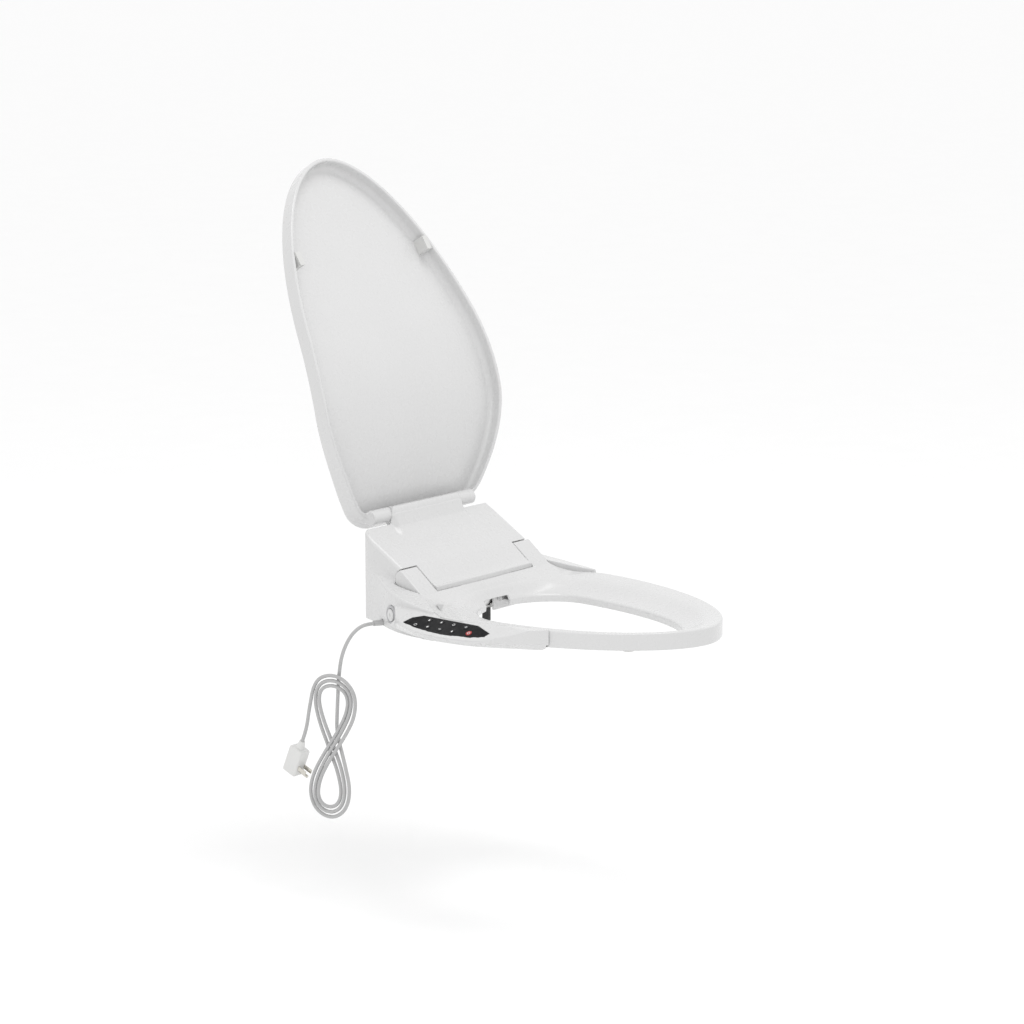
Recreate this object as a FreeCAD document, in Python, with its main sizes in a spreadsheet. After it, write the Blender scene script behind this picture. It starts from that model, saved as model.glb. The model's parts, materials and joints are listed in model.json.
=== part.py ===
import FreeCAD, Part
import math
import os
from types import SimpleNamespace

import Sketcher
from FreeCAD import Matrix, Placement, Rotation, Vector

# Electric bidet seat. Millimetres. +Z is up and -Y is the front. The origin is on the
# plane of the base's underside, midway between the two fixing bolts. The control arm is on
# the -X side, which is the right hand of a person who sits on the seat.

DIMENSIONS = {
    # fixing to the bowl
    "bolt_span": 140,
    "bolt_radius": 3,
    "anchor_radius": 6.5,
    "anchor_depth": 30,
    # housing
    "housing_rear": 60,
    "housing_front": -55.5,
    "housing_bottom": 2,
    "housing_top": 134,
    "ramp_half_width": 146,
    "ramp_knee": -18,
    "ramp_knee_height": 87,
    "wall": 3,
    # seat
    "seat_half_width": 191.5,
    "seat_widest": -145,
    "seat_nose": -472,
    "seat_power": 1.83,
    "rim_height": 43,
    "seat_bottom": 16.5,
    "buffer_foot": 8,
    "arm_inner": 112,
    "arm_outer": 149,
    "opening_half_width": 103.6,
    "opening_widest": -161,
    "opening_rear": -79,
    "opening_front": -412,
    "opening_bottom": 12,
    "opening_top": 23,
    "gap": 1,
    "seat_axis_y": -23.1,
    "seat_axis_z": 72.1,
    "seat_knuckle": 15,
    # lid
    "lid_axis_y": 70,
    "lid_axis_z": 147,
    "lid_opening_angle": 121,
    "lid_half_width": 200,
    "lid_widest": -80,
    "lid_nose": -472,
    "lid_base_half_width": 124,
    "lid_power": 1.92,
    "lid_depth": 26,
    "lid_skin": 6,
    "lid_lip": 6,
    "lid_slope": 35.5,
    "lid_turn": 34.6,
    "lid_straight": 46,
    "lid_bend": 415,
    "ear_inner": 74.5,
    "ear_outer": 118,
    "hub_radius": 13,
    # control arm and its keypad
    "arm_top": 40.5,
    "arm_edge": -192,
    "arm_tilt": 27.3,
    "arm_bottom": 12,
    "key_radius": 4.6,
    # spray wands
    "wand_radius": 6,
    "wand_length": 108,
    "wand_spacing": 22,
    "wand_slope": 28,
    "tooth_module": 1,
    # cord
    "cord_radius": 2.75,
}


class Size(float):
    """A number that also remembers the sheet expression that gives it."""

    def __new__(cls, value, expression=None):
        size = super().__new__(cls, value)
        size.expression = expression or repr(float(value))
        return size

    def __add__(self, other):
        return joined(self, "+", other, float(self) + float(other))

    def __radd__(self, other):
        return joined(other, "+", self, float(other) + float(self))

    def __sub__(self, other):
        return joined(self, "-", other, float(self) - float(other))

    def __rsub__(self, other):
        return joined(other, "-", self, float(other) - float(self))

    def __mul__(self, other):
        return joined(self, "*", other, float(self) * float(other))

    def __rmul__(self, other):
        return joined(other, "*", self, float(other) * float(self))

    def __truediv__(self, other):
        return joined(self, "/", other, float(self) / float(other))

    def __neg__(self):
        return joined(0, "-", self, -float(self))


def words(number):
    """The expression of a number."""
    return getattr(number, "expression", repr(float(number)))


def joined(left, sign, right, value):
    """A size worked out from two others."""
    return Size(value, f"({words(left)} {sign} {words(right)})")


doc = FreeCAD.newDocument("BidetSeat")


def make_sheet():
    """The sheet of driving dimensions, and each of them as a Size."""
    sheet = doc.addObject("Spreadsheet::Sheet", "Sizes")
    for row, (alias, value) in enumerate(DIMENSIONS.items(), start=1):
        sheet.set(f"A{row}", alias)
        sheet.set(f"B{row}", str(value))
        sheet.setAlias(f"B{row}", alias)
    doc.recompute()
    return SimpleNamespace(
        **{alias: Size(sheet.get(alias), f"Sizes.{alias}") for alias in DIMENSIONS}
    )


s = make_sheet()
NODES = []

X_AXIS = Vector(1, 0, 0)
Y_AXIS = Vector(0, 1, 0)
Z_AXIS = Vector(0, 0, 1)
ORIGIN = Vector(0, 0, 0)


# ---------------------------------------------------------------- building helpers


def bind(item, **sizes):
    """Set properties of an object from sizes, and bind them to the sheet."""
    for name, size in sizes.items():
        setattr(item, name, float(size))
        item.setExpression(name, words(size))


def place(item, position, rotation=None):
    """Put an object at a position, bound to the sheet, with a fixed rotation."""
    item.Placement = Placement(Vector(*[float(p) for p in position]), rotation or Rotation())
    for axis, value in zip("xyz", position):
        item.setExpression(f"Placement.Base.{axis}", words(value))


def node(item, name):
    """Name a finished sub-part, so that it is written out."""
    item.Label = name
    NODES.append(item)
    return item


def block(name, low, high):
    """A box between two corners."""
    item = doc.addObject("Part::Box", name)
    bind(item, Length=high[0] - low[0], Width=high[1] - low[1], Height=high[2] - low[2])
    place(item, low)
    return item


def rod(name, radius, length, base, direction=Z_AXIS):
    """A round rod from its base along a direction."""
    item = doc.addObject("Part::Cylinder", name)
    bind(item, Radius=radius, Height=length)
    place(item, base, Rotation(Z_AXIS, direction))
    return item


def fused(name, *pieces):
    """Several solids as one."""
    item = doc.addObject("Part::MultiFuse", name)
    item.Shapes = list(pieces)
    return item


def cut(name, base, *tools):
    """A solid less one or more tools."""
    for index, tool in enumerate(tools):
        item = doc.addObject("Part::Cut", f"{name}{index}")
        item.Base = base
        item.Tool = tool
        base = item
    return base


def group(name, *pieces):
    """Separate solids that share a node."""
    item = doc.addObject("Part::Compound", name)
    item.Links = list(pieces)
    return item


def shaped(name, shape, placement=None):
    """A sub-part whose shape comes from Part's own functions."""
    item = doc.addObject("Part::Feature", name)
    item.Shape = shape
    if placement:
        item.Placement = placement
    return item


def new_body(name):
    return doc.addObject("PartDesign::Body", name)


def outline_sketch(body, plane, corners, height=0):
    """A sketch of straight edges on one of the body's own planes, every corner bound."""
    sketch = body.newObject("Sketcher::SketchObject", f"{body.Name}Sketch")
    support = next(f for f in body.Origin.OriginFeatures if f.Role == plane)
    sketch.AttachmentSupport = (support, [""])
    sketch.MapMode = "FlatFace"
    sketch.setExpression("AttachmentOffset.Base.z", words(height))
    count = len(corners)
    places = [Vector(float(a), float(b), 0) for a, b in corners]
    for index in range(count):
        sketch.addGeometry(Part.LineSegment(places[index], places[(index + 1) % count]))
    for index in range(count):
        follower = (index + 1) % count
        sketch.addConstraint(Sketcher.Constraint("Coincident", index, 2, follower, 1))
    for index, corner in enumerate(corners):
        for kind, value in zip(("DistanceX", "DistanceY"), corner):
            rule = Sketcher.Constraint(kind, -1, 1, index, 1, float(value))
            number = sketch.addConstraint(rule)
            sketch.setExpression(f"Constraints[{number}]", words(value))
    return sketch


def circle_sketch(body, plane, circles, height=0):
    """A sketch of circles, each (across, up, radius), on one of the body's own planes."""
    sketch = body.newObject("Sketcher::SketchObject", f"{body.Name}Sketch")
    support = next(f for f in body.Origin.OriginFeatures if f.Role == plane)
    sketch.AttachmentSupport = (support, [""])
    sketch.MapMode = "FlatFace"
    sketch.setExpression("AttachmentOffset.Base.z", words(height))
    for index, (across, up, radius) in enumerate(circles):
        centre = Vector(float(across), float(up), 0)
        sketch.addGeometry(Part.Circle(centre, Z_AXIS, float(radius)))
        rules = [
            (Sketcher.Constraint("DistanceX", -1, 1, index, 3, float(across)), across),
            (Sketcher.Constraint("DistanceY", -1, 1, index, 3, float(up)), up),
            (Sketcher.Constraint("Radius", index, float(radius)), radius),
        ]
        for rule, value in rules:
            number = sketch.addConstraint(rule)
            sketch.setExpression(f"Constraints[{number}]", words(value))
    return sketch


def pad(body, sketch, length):
    """Raise a sketch along its normal."""
    feature = body.newObject("PartDesign::Pad", f"{body.Name}Pad")
    feature.Profile = sketch
    bind(feature, Length=length)
    sketch.Visibility = False
    return feature


def pocket(body, sketch):
    """Cut a sketch right through the body, on both sides of its plane."""
    feature = body.newObject("PartDesign::Pocket", f"{body.Name}Pocket")
    feature.Profile = sketch
    feature.Midplane = True
    feature.Type = "ThroughAll"
    return feature


def turned(name, profile, position=(0, 0, 0), direction=Z_AXIS):
    """A round piece: a profile of (radius, height) corners turned about the body's Z axis."""
    body = new_body(name)
    sketch = outline_sketch(body, "XZ_Plane", profile)
    feature = body.newObject("PartDesign::Revolution", f"{name}Turn")
    feature.Profile = sketch
    feature.ReferenceAxis = (sketch, ["V_Axis"])
    feature.Angle = 360
    place(body, position, Rotation(Z_AXIS, direction))
    return body


def plate(name, corners, low, thickness, holes=()):
    """A flat plate of a straight-edged outline, with round holes right through."""
    body = new_body(name)
    pad(body, outline_sketch(body, "XY_Plane", corners, low), thickness)
    if holes:
        pocket(body, circle_sketch(body, "XY_Plane", holes, low))
    return body


def rectangle(left, right, front, rear):
    """The corners of a rectangle."""
    return [(left, front), (right, front), (right, rear), (left, rear)]


# ---------------------------------------------------------------- outline helpers


def curve_through(points):
    """A smooth edge through points."""
    curve = Part.BSplineCurve()
    curve.interpolate(points)
    return curve.toShape()


def prism(wire, low, high):
    """The upright solid over a flat outline, between two heights."""
    flat = wire.copy()
    flat.translate(Vector(0, 0, low - wire.BoundBox.ZMin))
    return Part.Face(flat).extrude(Vector(0, 0, high - low))


def closed_side(edges, half_width):
    """The solid across the object over a closed side view, from -X to +X."""
    face = Part.Face(Part.Wire(edges))
    face.translate(Vector(-half_width, 0, 0))
    return face.extrude(Vector(2 * half_width, 0, 0))


def side_polygon(corners, half_width):
    """The solid across the object over straight (y, z) corners."""
    points = [Vector(0, y, z) for y, z in corners]
    ends = points[1:] + points[:1]
    return closed_side([Part.LineSegment(a, b).toShape() for a, b in zip(points, ends)], half_width)


def egg_quarter(half_width, widest, tip, power, steps=12):
    """Points of a rounded outline from its widest place to its tip, on the +X side."""
    points = []
    for step in range(steps + 1):
        turn = math.pi / 2 * step / steps
        across = half_width * max(math.cos(turn), 0) ** (2 / power)
        along = widest + (tip - widest) * math.sin(turn) ** (2 / power)
        points.append(Vector(across, along, 0))
    return points


def mirrored(points):
    """The same points on the -X side, in reverse order."""
    return [Vector(-p.x, p.y, p.z) for p in reversed(points)]


def both_sides(shape):
    """A solid on the +X side and its mirror image."""
    flip = Matrix()
    flip.scale(-1, 1, 1)
    return shape.fuse(shape.transformGeometry(flip))


def seat_outline(grow):
    """The seat's outline grown by a distance, closed by a straight line behind its arms."""
    front = egg_quarter(s.seat_half_width + grow, s.seat_widest, s.seat_nose - grow, s.seat_power)
    shoulder = []
    shoulder_start = -45
    shoulder_run = shoulder_start - s.seat_widest
    spread = s.seat_half_width - s.arm_outer
    for step in range(6):
        part = step / 6
        across = s.arm_outer + spread * (0.5 - 0.5 * math.cos(math.pi * part))
        shoulder.append(Vector(across + grow, shoulder_start - shoulder_run * part, 0))
    half = shoulder + front
    curve = curve_through(half + mirrored(half[:-1]))
    right = Vector(s.arm_outer + grow, 0, 0)
    left = Vector(-right.x, 0, 0)
    return Part.Wire(
        [
            Part.LineSegment(right, half[0]).toShape(),
            curve,
            Part.LineSegment(mirrored(half)[-1], left).toShape(),
            Part.LineSegment(left, right).toShape(),
        ]
    )


def oval(half_width, widest, rear, front, power, height=0):
    """A closed smooth oval across the centre line."""
    ahead = egg_quarter(half_width, widest, front, power, 10)
    behind = egg_quarter(half_width, widest, rear, 2, 6)
    half = list(reversed(behind)) + ahead[1:]
    loop = half + mirrored(half)[1:-1]
    curve = Part.BSplineCurve()
    curve.interpolate([Vector(p.x, p.y, height) for p in loop], PeriodicFlag=True)
    return Part.Wire(curve.toShape())


def opening(grow, height=0):
    """The outline of the seat's opening, grown by a distance."""
    return oval(
        s.opening_half_width + grow,
        s.opening_widest,
        s.opening_rear + grow,
        s.opening_front - grow,
        1.95,
        height,
    )


def housing_outline(shrink):
    """The housing's outline, from the rear wall to the tips of its wings."""
    side = [(140, 60), (149, 36), (162, 6), (176, -25), (186.5, -62), (190.5, -118)]
    points = [Vector(x - shrink, y, 0) for x, y in side]
    points[0].y -= shrink
    right = curve_through(points)
    left = curve_through([Vector(-p.x, p.y, 0) for p in points])
    front = Part.LineSegment(points[-1], Vector(-points[-1].x, points[-1].y, 0)).toShape()
    back = Part.LineSegment(points[0], Vector(-points[0].x, points[0].y, 0)).toShape()
    return Part.Wire([right, front, left, back])


# ---------------------------------------------------------------- seat


SEAT_AXIS = Vector(0, s.seat_axis_y, s.seat_axis_z)
RAMP_FRONT = (-55, 58)


def seat_top_edges(drop, rear):
    """The seat's side view: up the nose, along the rim and up the slope to the rear."""
    slope = math.atan2(s.ramp_knee_height - RAMP_FRONT[1], s.ramp_knee - RAMP_FRONT[0])
    top = s.rim_height - drop
    lift = drop / math.cos(slope)
    radius = 60 + drop
    meet = RAMP_FRONT[0] + (top - RAMP_FRONT[1] + lift) / math.tan(slope)
    reach = radius * math.tan(slope / 2)
    centre = Vector(0, meet - reach, top + radius)
    start = Vector(0, meet - reach, top)
    middle = centre + Vector(0, radius * math.sin(slope / 2), -radius * math.cos(slope / 2))
    end = centre + Vector(0, radius * math.sin(slope), -radius * math.cos(slope))
    last = Vector(0, rear, end.z + (rear - end.y) * math.tan(slope))
    nose_top = Vector(0, s.seat_nose - 20, top)
    corners = [last, Vector(0, rear, s.seat_bottom), Vector(0, nose_top.y, s.seat_bottom), nose_top]
    edges = [Part.LineSegment(a, b).toShape() for a, b in zip(corners, corners[1:])]
    edges.append(Part.LineSegment(nose_top, start).toShape())
    edges.append(Part.Arc(start, middle, end).toShape())
    edges.append(Part.LineSegment(end, last).toShape())
    return edges


def dish(drop):
    """The hollow that the sitter uses: a funnel down to the opening, lowered by drop."""
    low = opening(0.5, s.opening_top - drop)
    high = oval(181, -155, -66.5, s.seat_nose + 11, 1.86, s.rim_height - drop)
    low_ring = low.Edges[0].Curve.getPoles()
    high_ring = high.Edges[0].Curve.getPoles()
    rise = 1.9
    top = Part.BSplineCurve()
    poles = [a + (b - a) * rise for a, b in zip(low_ring, high_ring)]
    base = low.Edges[0].Curve
    top.buildFromPolesMultsKnots(
        poles, base.getMultiplicities(), base.getKnots(), True, base.Degree
    )
    return Part.makeLoft([low, Part.Wire(top.toShape())], True, True)


def seat_body():
    """The seat's outer form: ring, rear bridge and the two arms that carry the hinge."""
    far = 250
    rear = -57
    ring = closed_side(seat_top_edges(0, rear), far).common(
        prism(seat_outline(0), s.opening_bottom, 100)
    )
    ring = ring.cut(dish(0)).cut(prism(opening(0), 0, 60))
    lip = prism(opening(4), s.opening_bottom, s.opening_top - 1).cut(
        prism(opening(0), 0, s.opening_top)
    )
    knuckle = Part.makeCylinder(s.seat_knuckle, 2 * far, Vector(-far, SEAT_AXIS.y, SEAT_AXIS.z), X_AXIS)
    strip = side_polygon([(-66, 46), (SEAT_AXIS.y, 46), (SEAT_AXIS.y, 90), (-66, 90)], far)
    arms = strip.fuse(knuckle).common(closed_side(seat_top_edges(0, 0), far))
    arms = arms.common(prism(seat_outline(0), 0, 100))
    between = Part.makeBox(2 * s.arm_inner, 100, 200, Vector(-s.arm_inner, rear, 0))
    body = ring.fuse([lip, arms.cut(between)])
    wand_arch = Part.makeBox(56, 40, 27, Vector(-28, -85, 0))
    return body.cut(wand_arch).removeSplitter()


def seat_hollow(grow):
    """The space inside the seat, between its top and bottom shells."""
    wall = s.wall + 0.5 - grow
    space = closed_side(seat_top_edges(wall, -62), 250).common(
        prism(seat_outline(-wall), s.seat_bottom, 100)
    )
    space = space.cut(prism(opening(4 + wall), 0, 100)).cut(dish(wall))
    return space.cut(Part.makeBox(62, 60, 60, Vector(-31, -100, 0)))


def make_seat():
    """Top shell, bottom shell, warming foil, buffers and hinge pins of the seat."""
    pin_radius = 3.5
    hollow = seat_hollow(0)
    bores = Part.makeCylinder(pin_radius, 400, Vector(-200, SEAT_AXIS.y, SEAT_AXIS.z), X_AXIS)
    bore_limit = Part.makeBox(280, 60, 60, Vector(-140, SEAT_AXIS.y - 30, SEAT_AXIS.z - 30))
    top = seat_body().cut(hollow).cut(bores.common(bore_limit))
    node(shaped("SeatTop", top), "seat_top_shell")

    floor = hollow.common(Part.makeBox(500, 600, 2.5, Vector(-250, -560, s.seat_bottom)))
    node(shaped("SeatBottom", floor), "seat_bottom_shell")

    under_dish = dish(s.wall + 1.1).cut(dish(s.wall + 0.5))
    foil_band = prism(seat_outline(-16), 0, 100).cut(prism(opening(14), 0, 100))
    foil = under_dish.common(foil_band).common(Part.makeBox(500, 385, 100, Vector(-250, -475, 0)))
    node(shaped("SeatFoil", foil), "seat_warming_foil")

    buffer_places = [(-76, -384), (76, -384), (-165, -215), (165, -215)]
    buffers = []
    for index, (x, y) in enumerate(buffer_places):
        top = s.seat_bottom
        foot = s.buffer_foot
        profile = [(0, foot), (8, foot), (10, foot + 2), (10, top), (0, top)]
        buffers.append(turned(f"SeatBuffer{index}", profile, (x, y, 0)))
    node(group("SeatBuffers", *buffers), "seat_buffers")

    pins = []
    for index, side in enumerate((-1, 1)):
        start = 92 if side > 0 else -140
        base = (start, s.seat_axis_y, s.seat_axis_z)
        pins.append(rod(f"SeatPin{index}", pin_radius, 48, base, X_AXIS))
    node(group("SeatPins", *pins), "seat_hinge_pins")


# ---------------------------------------------------------------- lid


LID_AXIS = Vector(0, s.lid_axis_y, s.lid_axis_z)


def lid_edges(lift_low, lift_high):
    """The closed lid's side view between two distances above its lip: straight, bend, straight."""
    slope = math.radians(s.lid_slope)
    turn = math.radians(s.lid_turn)
    start = Vector(0, 72, 151.6)
    along = Vector(0, -math.cos(slope), -math.sin(slope))
    above = Vector(0, -math.sin(slope), math.cos(slope))
    centre = start + along * s.lid_straight + above * s.lid_bend
    reach = 330

    def at(angle, lift):
        radius = s.lid_bend - lift
        return centre + Vector(0, math.sin(angle), -math.cos(angle)) * radius

    def track(lift):
        flat = slope - turn
        first = start + above * lift
        last = at(flat, lift) + Vector(0, -math.cos(flat), -math.sin(flat)) * reach
        return first, at(slope, lift), at((slope + flat) / 2, lift), at(flat, lift), last

    low = track(lift_low)
    high = track(lift_high)
    return [
        Part.LineSegment(low[0], low[1]).toShape(),
        Part.Arc(low[1], low[2], low[3]).toShape(),
        Part.LineSegment(low[3], low[4]).toShape(),
        Part.LineSegment(low[4], high[4]).toShape(),
        Part.LineSegment(high[4], high[3]).toShape(),
        Part.Arc(high[3], high[2], high[1]).toShape(),
        Part.LineSegment(high[1], high[0]).toShape(),
        Part.LineSegment(high[0], low[0]).toShape(),
    ]


def lid_outline(shrink, rear):
    """The lid's outline seen from above when it is closed."""
    front = egg_quarter(s.lid_half_width - shrink, s.lid_widest, s.lid_nose + shrink, s.lid_power)
    flank = []
    for step in range(6):
        part = step / 6
        across = s.lid_base_half_width + (s.lid_half_width - s.lid_base_half_width) * (
            1 - (1 - part) ** 1.84
        )
        flank.append(Vector(across - shrink, rear + (s.lid_widest - rear) * part, 0))
    half = flank + front
    curve = curve_through(half + mirrored(half[:-1]))
    back = Part.LineSegment(mirrored(half)[-1], half[0]).toShape()
    return Part.Wire([curve, back])


def opened(shape):
    """A piece of the closed lid, turned up to where it rests when open."""
    return shape.rotated(LID_AXIS, X_AXIS, -s.lid_opening_angle)


def lid_form():
    """The tray-shaped lid with the two ears of its hinge, closed."""
    outer = closed_side(lid_edges(0, s.lid_depth), 260).common(prism(lid_outline(0, 76), -50, 300))
    inner = closed_side(lid_edges(-5, s.lid_depth - s.lid_skin), 260)
    inner = inner.common(prism(lid_outline(s.lid_lip, 63), -50, 300))
    tray = outer.cut(inner)
    hubs = []
    for side in (-1, 1):
        start = s.ear_inner if side > 0 else -s.ear_outer
        width = s.ear_outer - s.ear_inner
        base = Vector(start, LID_AXIS.y, LID_AXIS.z)
        hub = Part.makeCylinder(s.hub_radius, width, base, X_AXIS)
        hubs.append(hub)
    tray = tray.fuse(hubs)
    clearance = s.hub_radius + 2
    hump = Part.makeCylinder(
        clearance, 2 * s.ear_inner, Vector(-s.ear_inner, LID_AXIS.y, LID_AXIS.z), X_AXIS
    )
    pin_bore = Part.makeCylinder(4, 224, Vector(-112, LID_AXIS.y, LID_AXIS.z), X_AXIS)
    return tray.cut(hump).cut(pin_bore).removeSplitter()


def make_lid():
    """Lid, its buffers and its hinge pins, all in the open position."""
    node(shaped("Lid", opened(lid_form())), "lid_shell")
    pins = []
    for index, side in enumerate((-1, 1)):
        start = 62 if side > 0 else -112
        base = (start, s.lid_axis_y, s.lid_axis_z)
        pins.append(rod(f"LidPin{index}", 4, 50, base, X_AXIS))
    node(group("LidPins", *pins), "lid_hinge_pins")
    buffers = []
    for index, left in enumerate((-148, 138)):
        pad_block = Part.makeBox(10, 22, 40, Vector(left, -326, 43.6))
        pad_block = opened(pad_block.cut(lid_form()).Solids[0])
        buffers.append(shaped(f"LidBuffer{index}", pad_block))
    node(group("LidBuffers", *buffers), "lid_buffers")


# ---------------------------------------------------------------- housing


def ramp_block(inset):
    """The ramp that rises behind the seat, pulled in by a wall's thickness."""
    rear = s.housing_rear - inset
    steep = (s.ramp_knee_height - RAMP_FRONT[1]) / (s.ramp_knee - RAMP_FRONT[0])
    gentle = (s.housing_top - s.ramp_knee_height) / (s.housing_rear - s.ramp_knee)
    front = s.housing_front + inset
    rear_top = s.housing_top - inset * gentle - inset * math.hypot(1, gentle)
    knee_top = s.ramp_knee_height - inset * math.hypot(1, gentle)
    front_top = knee_top + (front - s.ramp_knee) * steep
    corners = [(rear, 0), (rear, rear_top), (s.ramp_knee, knee_top), (front, front_top), (front, 0)]
    return side_polygon(corners, s.ramp_half_width - inset)


def wing_block(inset):
    """The low wings either side of the ramp, whose hollowed top falls towards the front."""
    heights = [(60, 131), (57.5, 105), (46, 87.5), (21, 72), (-9, 62), (-47, 54.5), (-118, 45.5)]
    points = [Vector(0, y - inset, z - 1.3 * inset) for y, z in heights]
    front = Vector(0, points[-1].y, 0)
    rear = Vector(0, points[0].y + 20, 0)
    rear_top = Vector(0, rear.y, points[0].z)
    edges = [
        Part.LineSegment(rear, rear_top).toShape(),
        Part.LineSegment(rear_top, points[0]).toShape(),
        curve_through(points),
        Part.LineSegment(points[-1], front).toShape(),
        Part.LineSegment(front, rear).toShape(),
    ]
    return closed_side(edges, 250)


def seat_arm_space(grow):
    """The room that the seat's arms and their knuckles turn in, both sides."""
    width = s.arm_outer - s.arm_inner + 2 * (s.gap + 0.5 + grow)
    start = s.arm_inner - s.gap - 0.5 - grow
    reach = s.seat_knuckle + s.gap + grow
    round_end = Part.makeCylinder(reach, width, Vector(start, SEAT_AXIS.y, SEAT_AXIS.z), X_AXIS)
    floor = 44.5 - grow
    front = Part.makeBox(width, 50, 80, Vector(start, SEAT_AXIS.y - 50, floor))
    return both_sides(round_end.fuse(front))


def hinge_hump():
    """The barrel between the lid's ears, which holds the lid's dampers, and its neck."""
    half = s.ear_inner - 1
    barrel = Part.makeCylinder(
        s.hub_radius, 2 * half, Vector(-half, LID_AXIS.y, LID_AXIS.z), X_AXIS
    )
    neck = side_polygon([(44, 122), (58, 148), (70, 152), (82, 144), (59, 108), (55, 108)], half)
    return barrel.fuse(neck)


def screw_posts(radius, low):
    """The four posts that the housing's screws go up into."""
    places = [(-60, 48), (60, 48), (-98, -43), (98, -43)]
    posts = [Part.makeCylinder(radius, 150, Vector(x, y, low)) for x, y in places]
    return posts[0].fuse(posts[1:])


BEVEL = Rotation(Y_AXIS, -s.arm_tilt)
CREASE = [
    (-178, -33), (-203, -58), (-219, -88), (-228, -124), (-230, -165),
    (-226, -205), (-216, -240), (-202, -268), (-184, -291), (-162, -309),
]
FOOT = [
    (-168, -6), (-191, -36), (-207, -79), (-217, -116), (-219.5, -156),
    (-212, -203), (-197, -240), (-183, -266), (-171, -290), (-159, -309),
]


def arm_outline(corners, inset, height):
    """The control arm's outline from above, pulled in towards the seat."""
    points = [Vector(x + inset, y, height) for x, y in corners]
    points[-1].y += 2 * inset
    inner_front = Vector(-120, points[-1].y, height)
    inner_rear = Vector(-120, points[0].y, height)
    return Part.Wire(
        [
            curve_through(points),
            Part.LineSegment(points[-1], inner_front).toShape(),
            Part.LineSegment(inner_front, inner_rear).toShape(),
            Part.LineSegment(inner_rear, points[0]).toShape(),
        ]
    )


def under_bevel(drop):
    """Everything below the arm's sloping top, lowered by a distance."""
    slab = Part.makeBox(200, 600, 200, Vector(-100, -400, -200 - drop))
    slab.Placement = Placement(Vector(s.arm_edge, 0, s.arm_top), BEVEL).multiply(slab.Placement)
    return slab


def arm_form(inset):
    """The control arm beside the seat: undercut below, sloping on top."""
    waist = 22
    foot = arm_outline(FOOT, inset, s.arm_bottom)
    crease = arm_outline(CREASE, inset, waist)
    base = Part.makeLoft([foot, crease], True, True)
    top = prism(crease, waist, s.rim_height - inset)
    form = base.fuse(top).common(under_bevel(inset))
    return form.cut(prism(seat_outline(s.gap + inset), 0, 100))


def housing_form(inset):
    """Ramp and wings together, pulled in by a wall's thickness."""
    bottom = s.housing_bottom if inset == 0 else 0
    outline = prism(housing_outline(inset), bottom, 200)
    form = ramp_block(inset).fuse(wing_block(inset)).common(outline)
    return form


RELEASE_AT = Vector(-175.5, -25, 25)
RELEASE_OUT = Vector(-0.939, 0.345, 0)
INLET_AT = Vector(112, 40, 18)
WAND_TIP = Vector(0, -50, 15.7)


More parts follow.
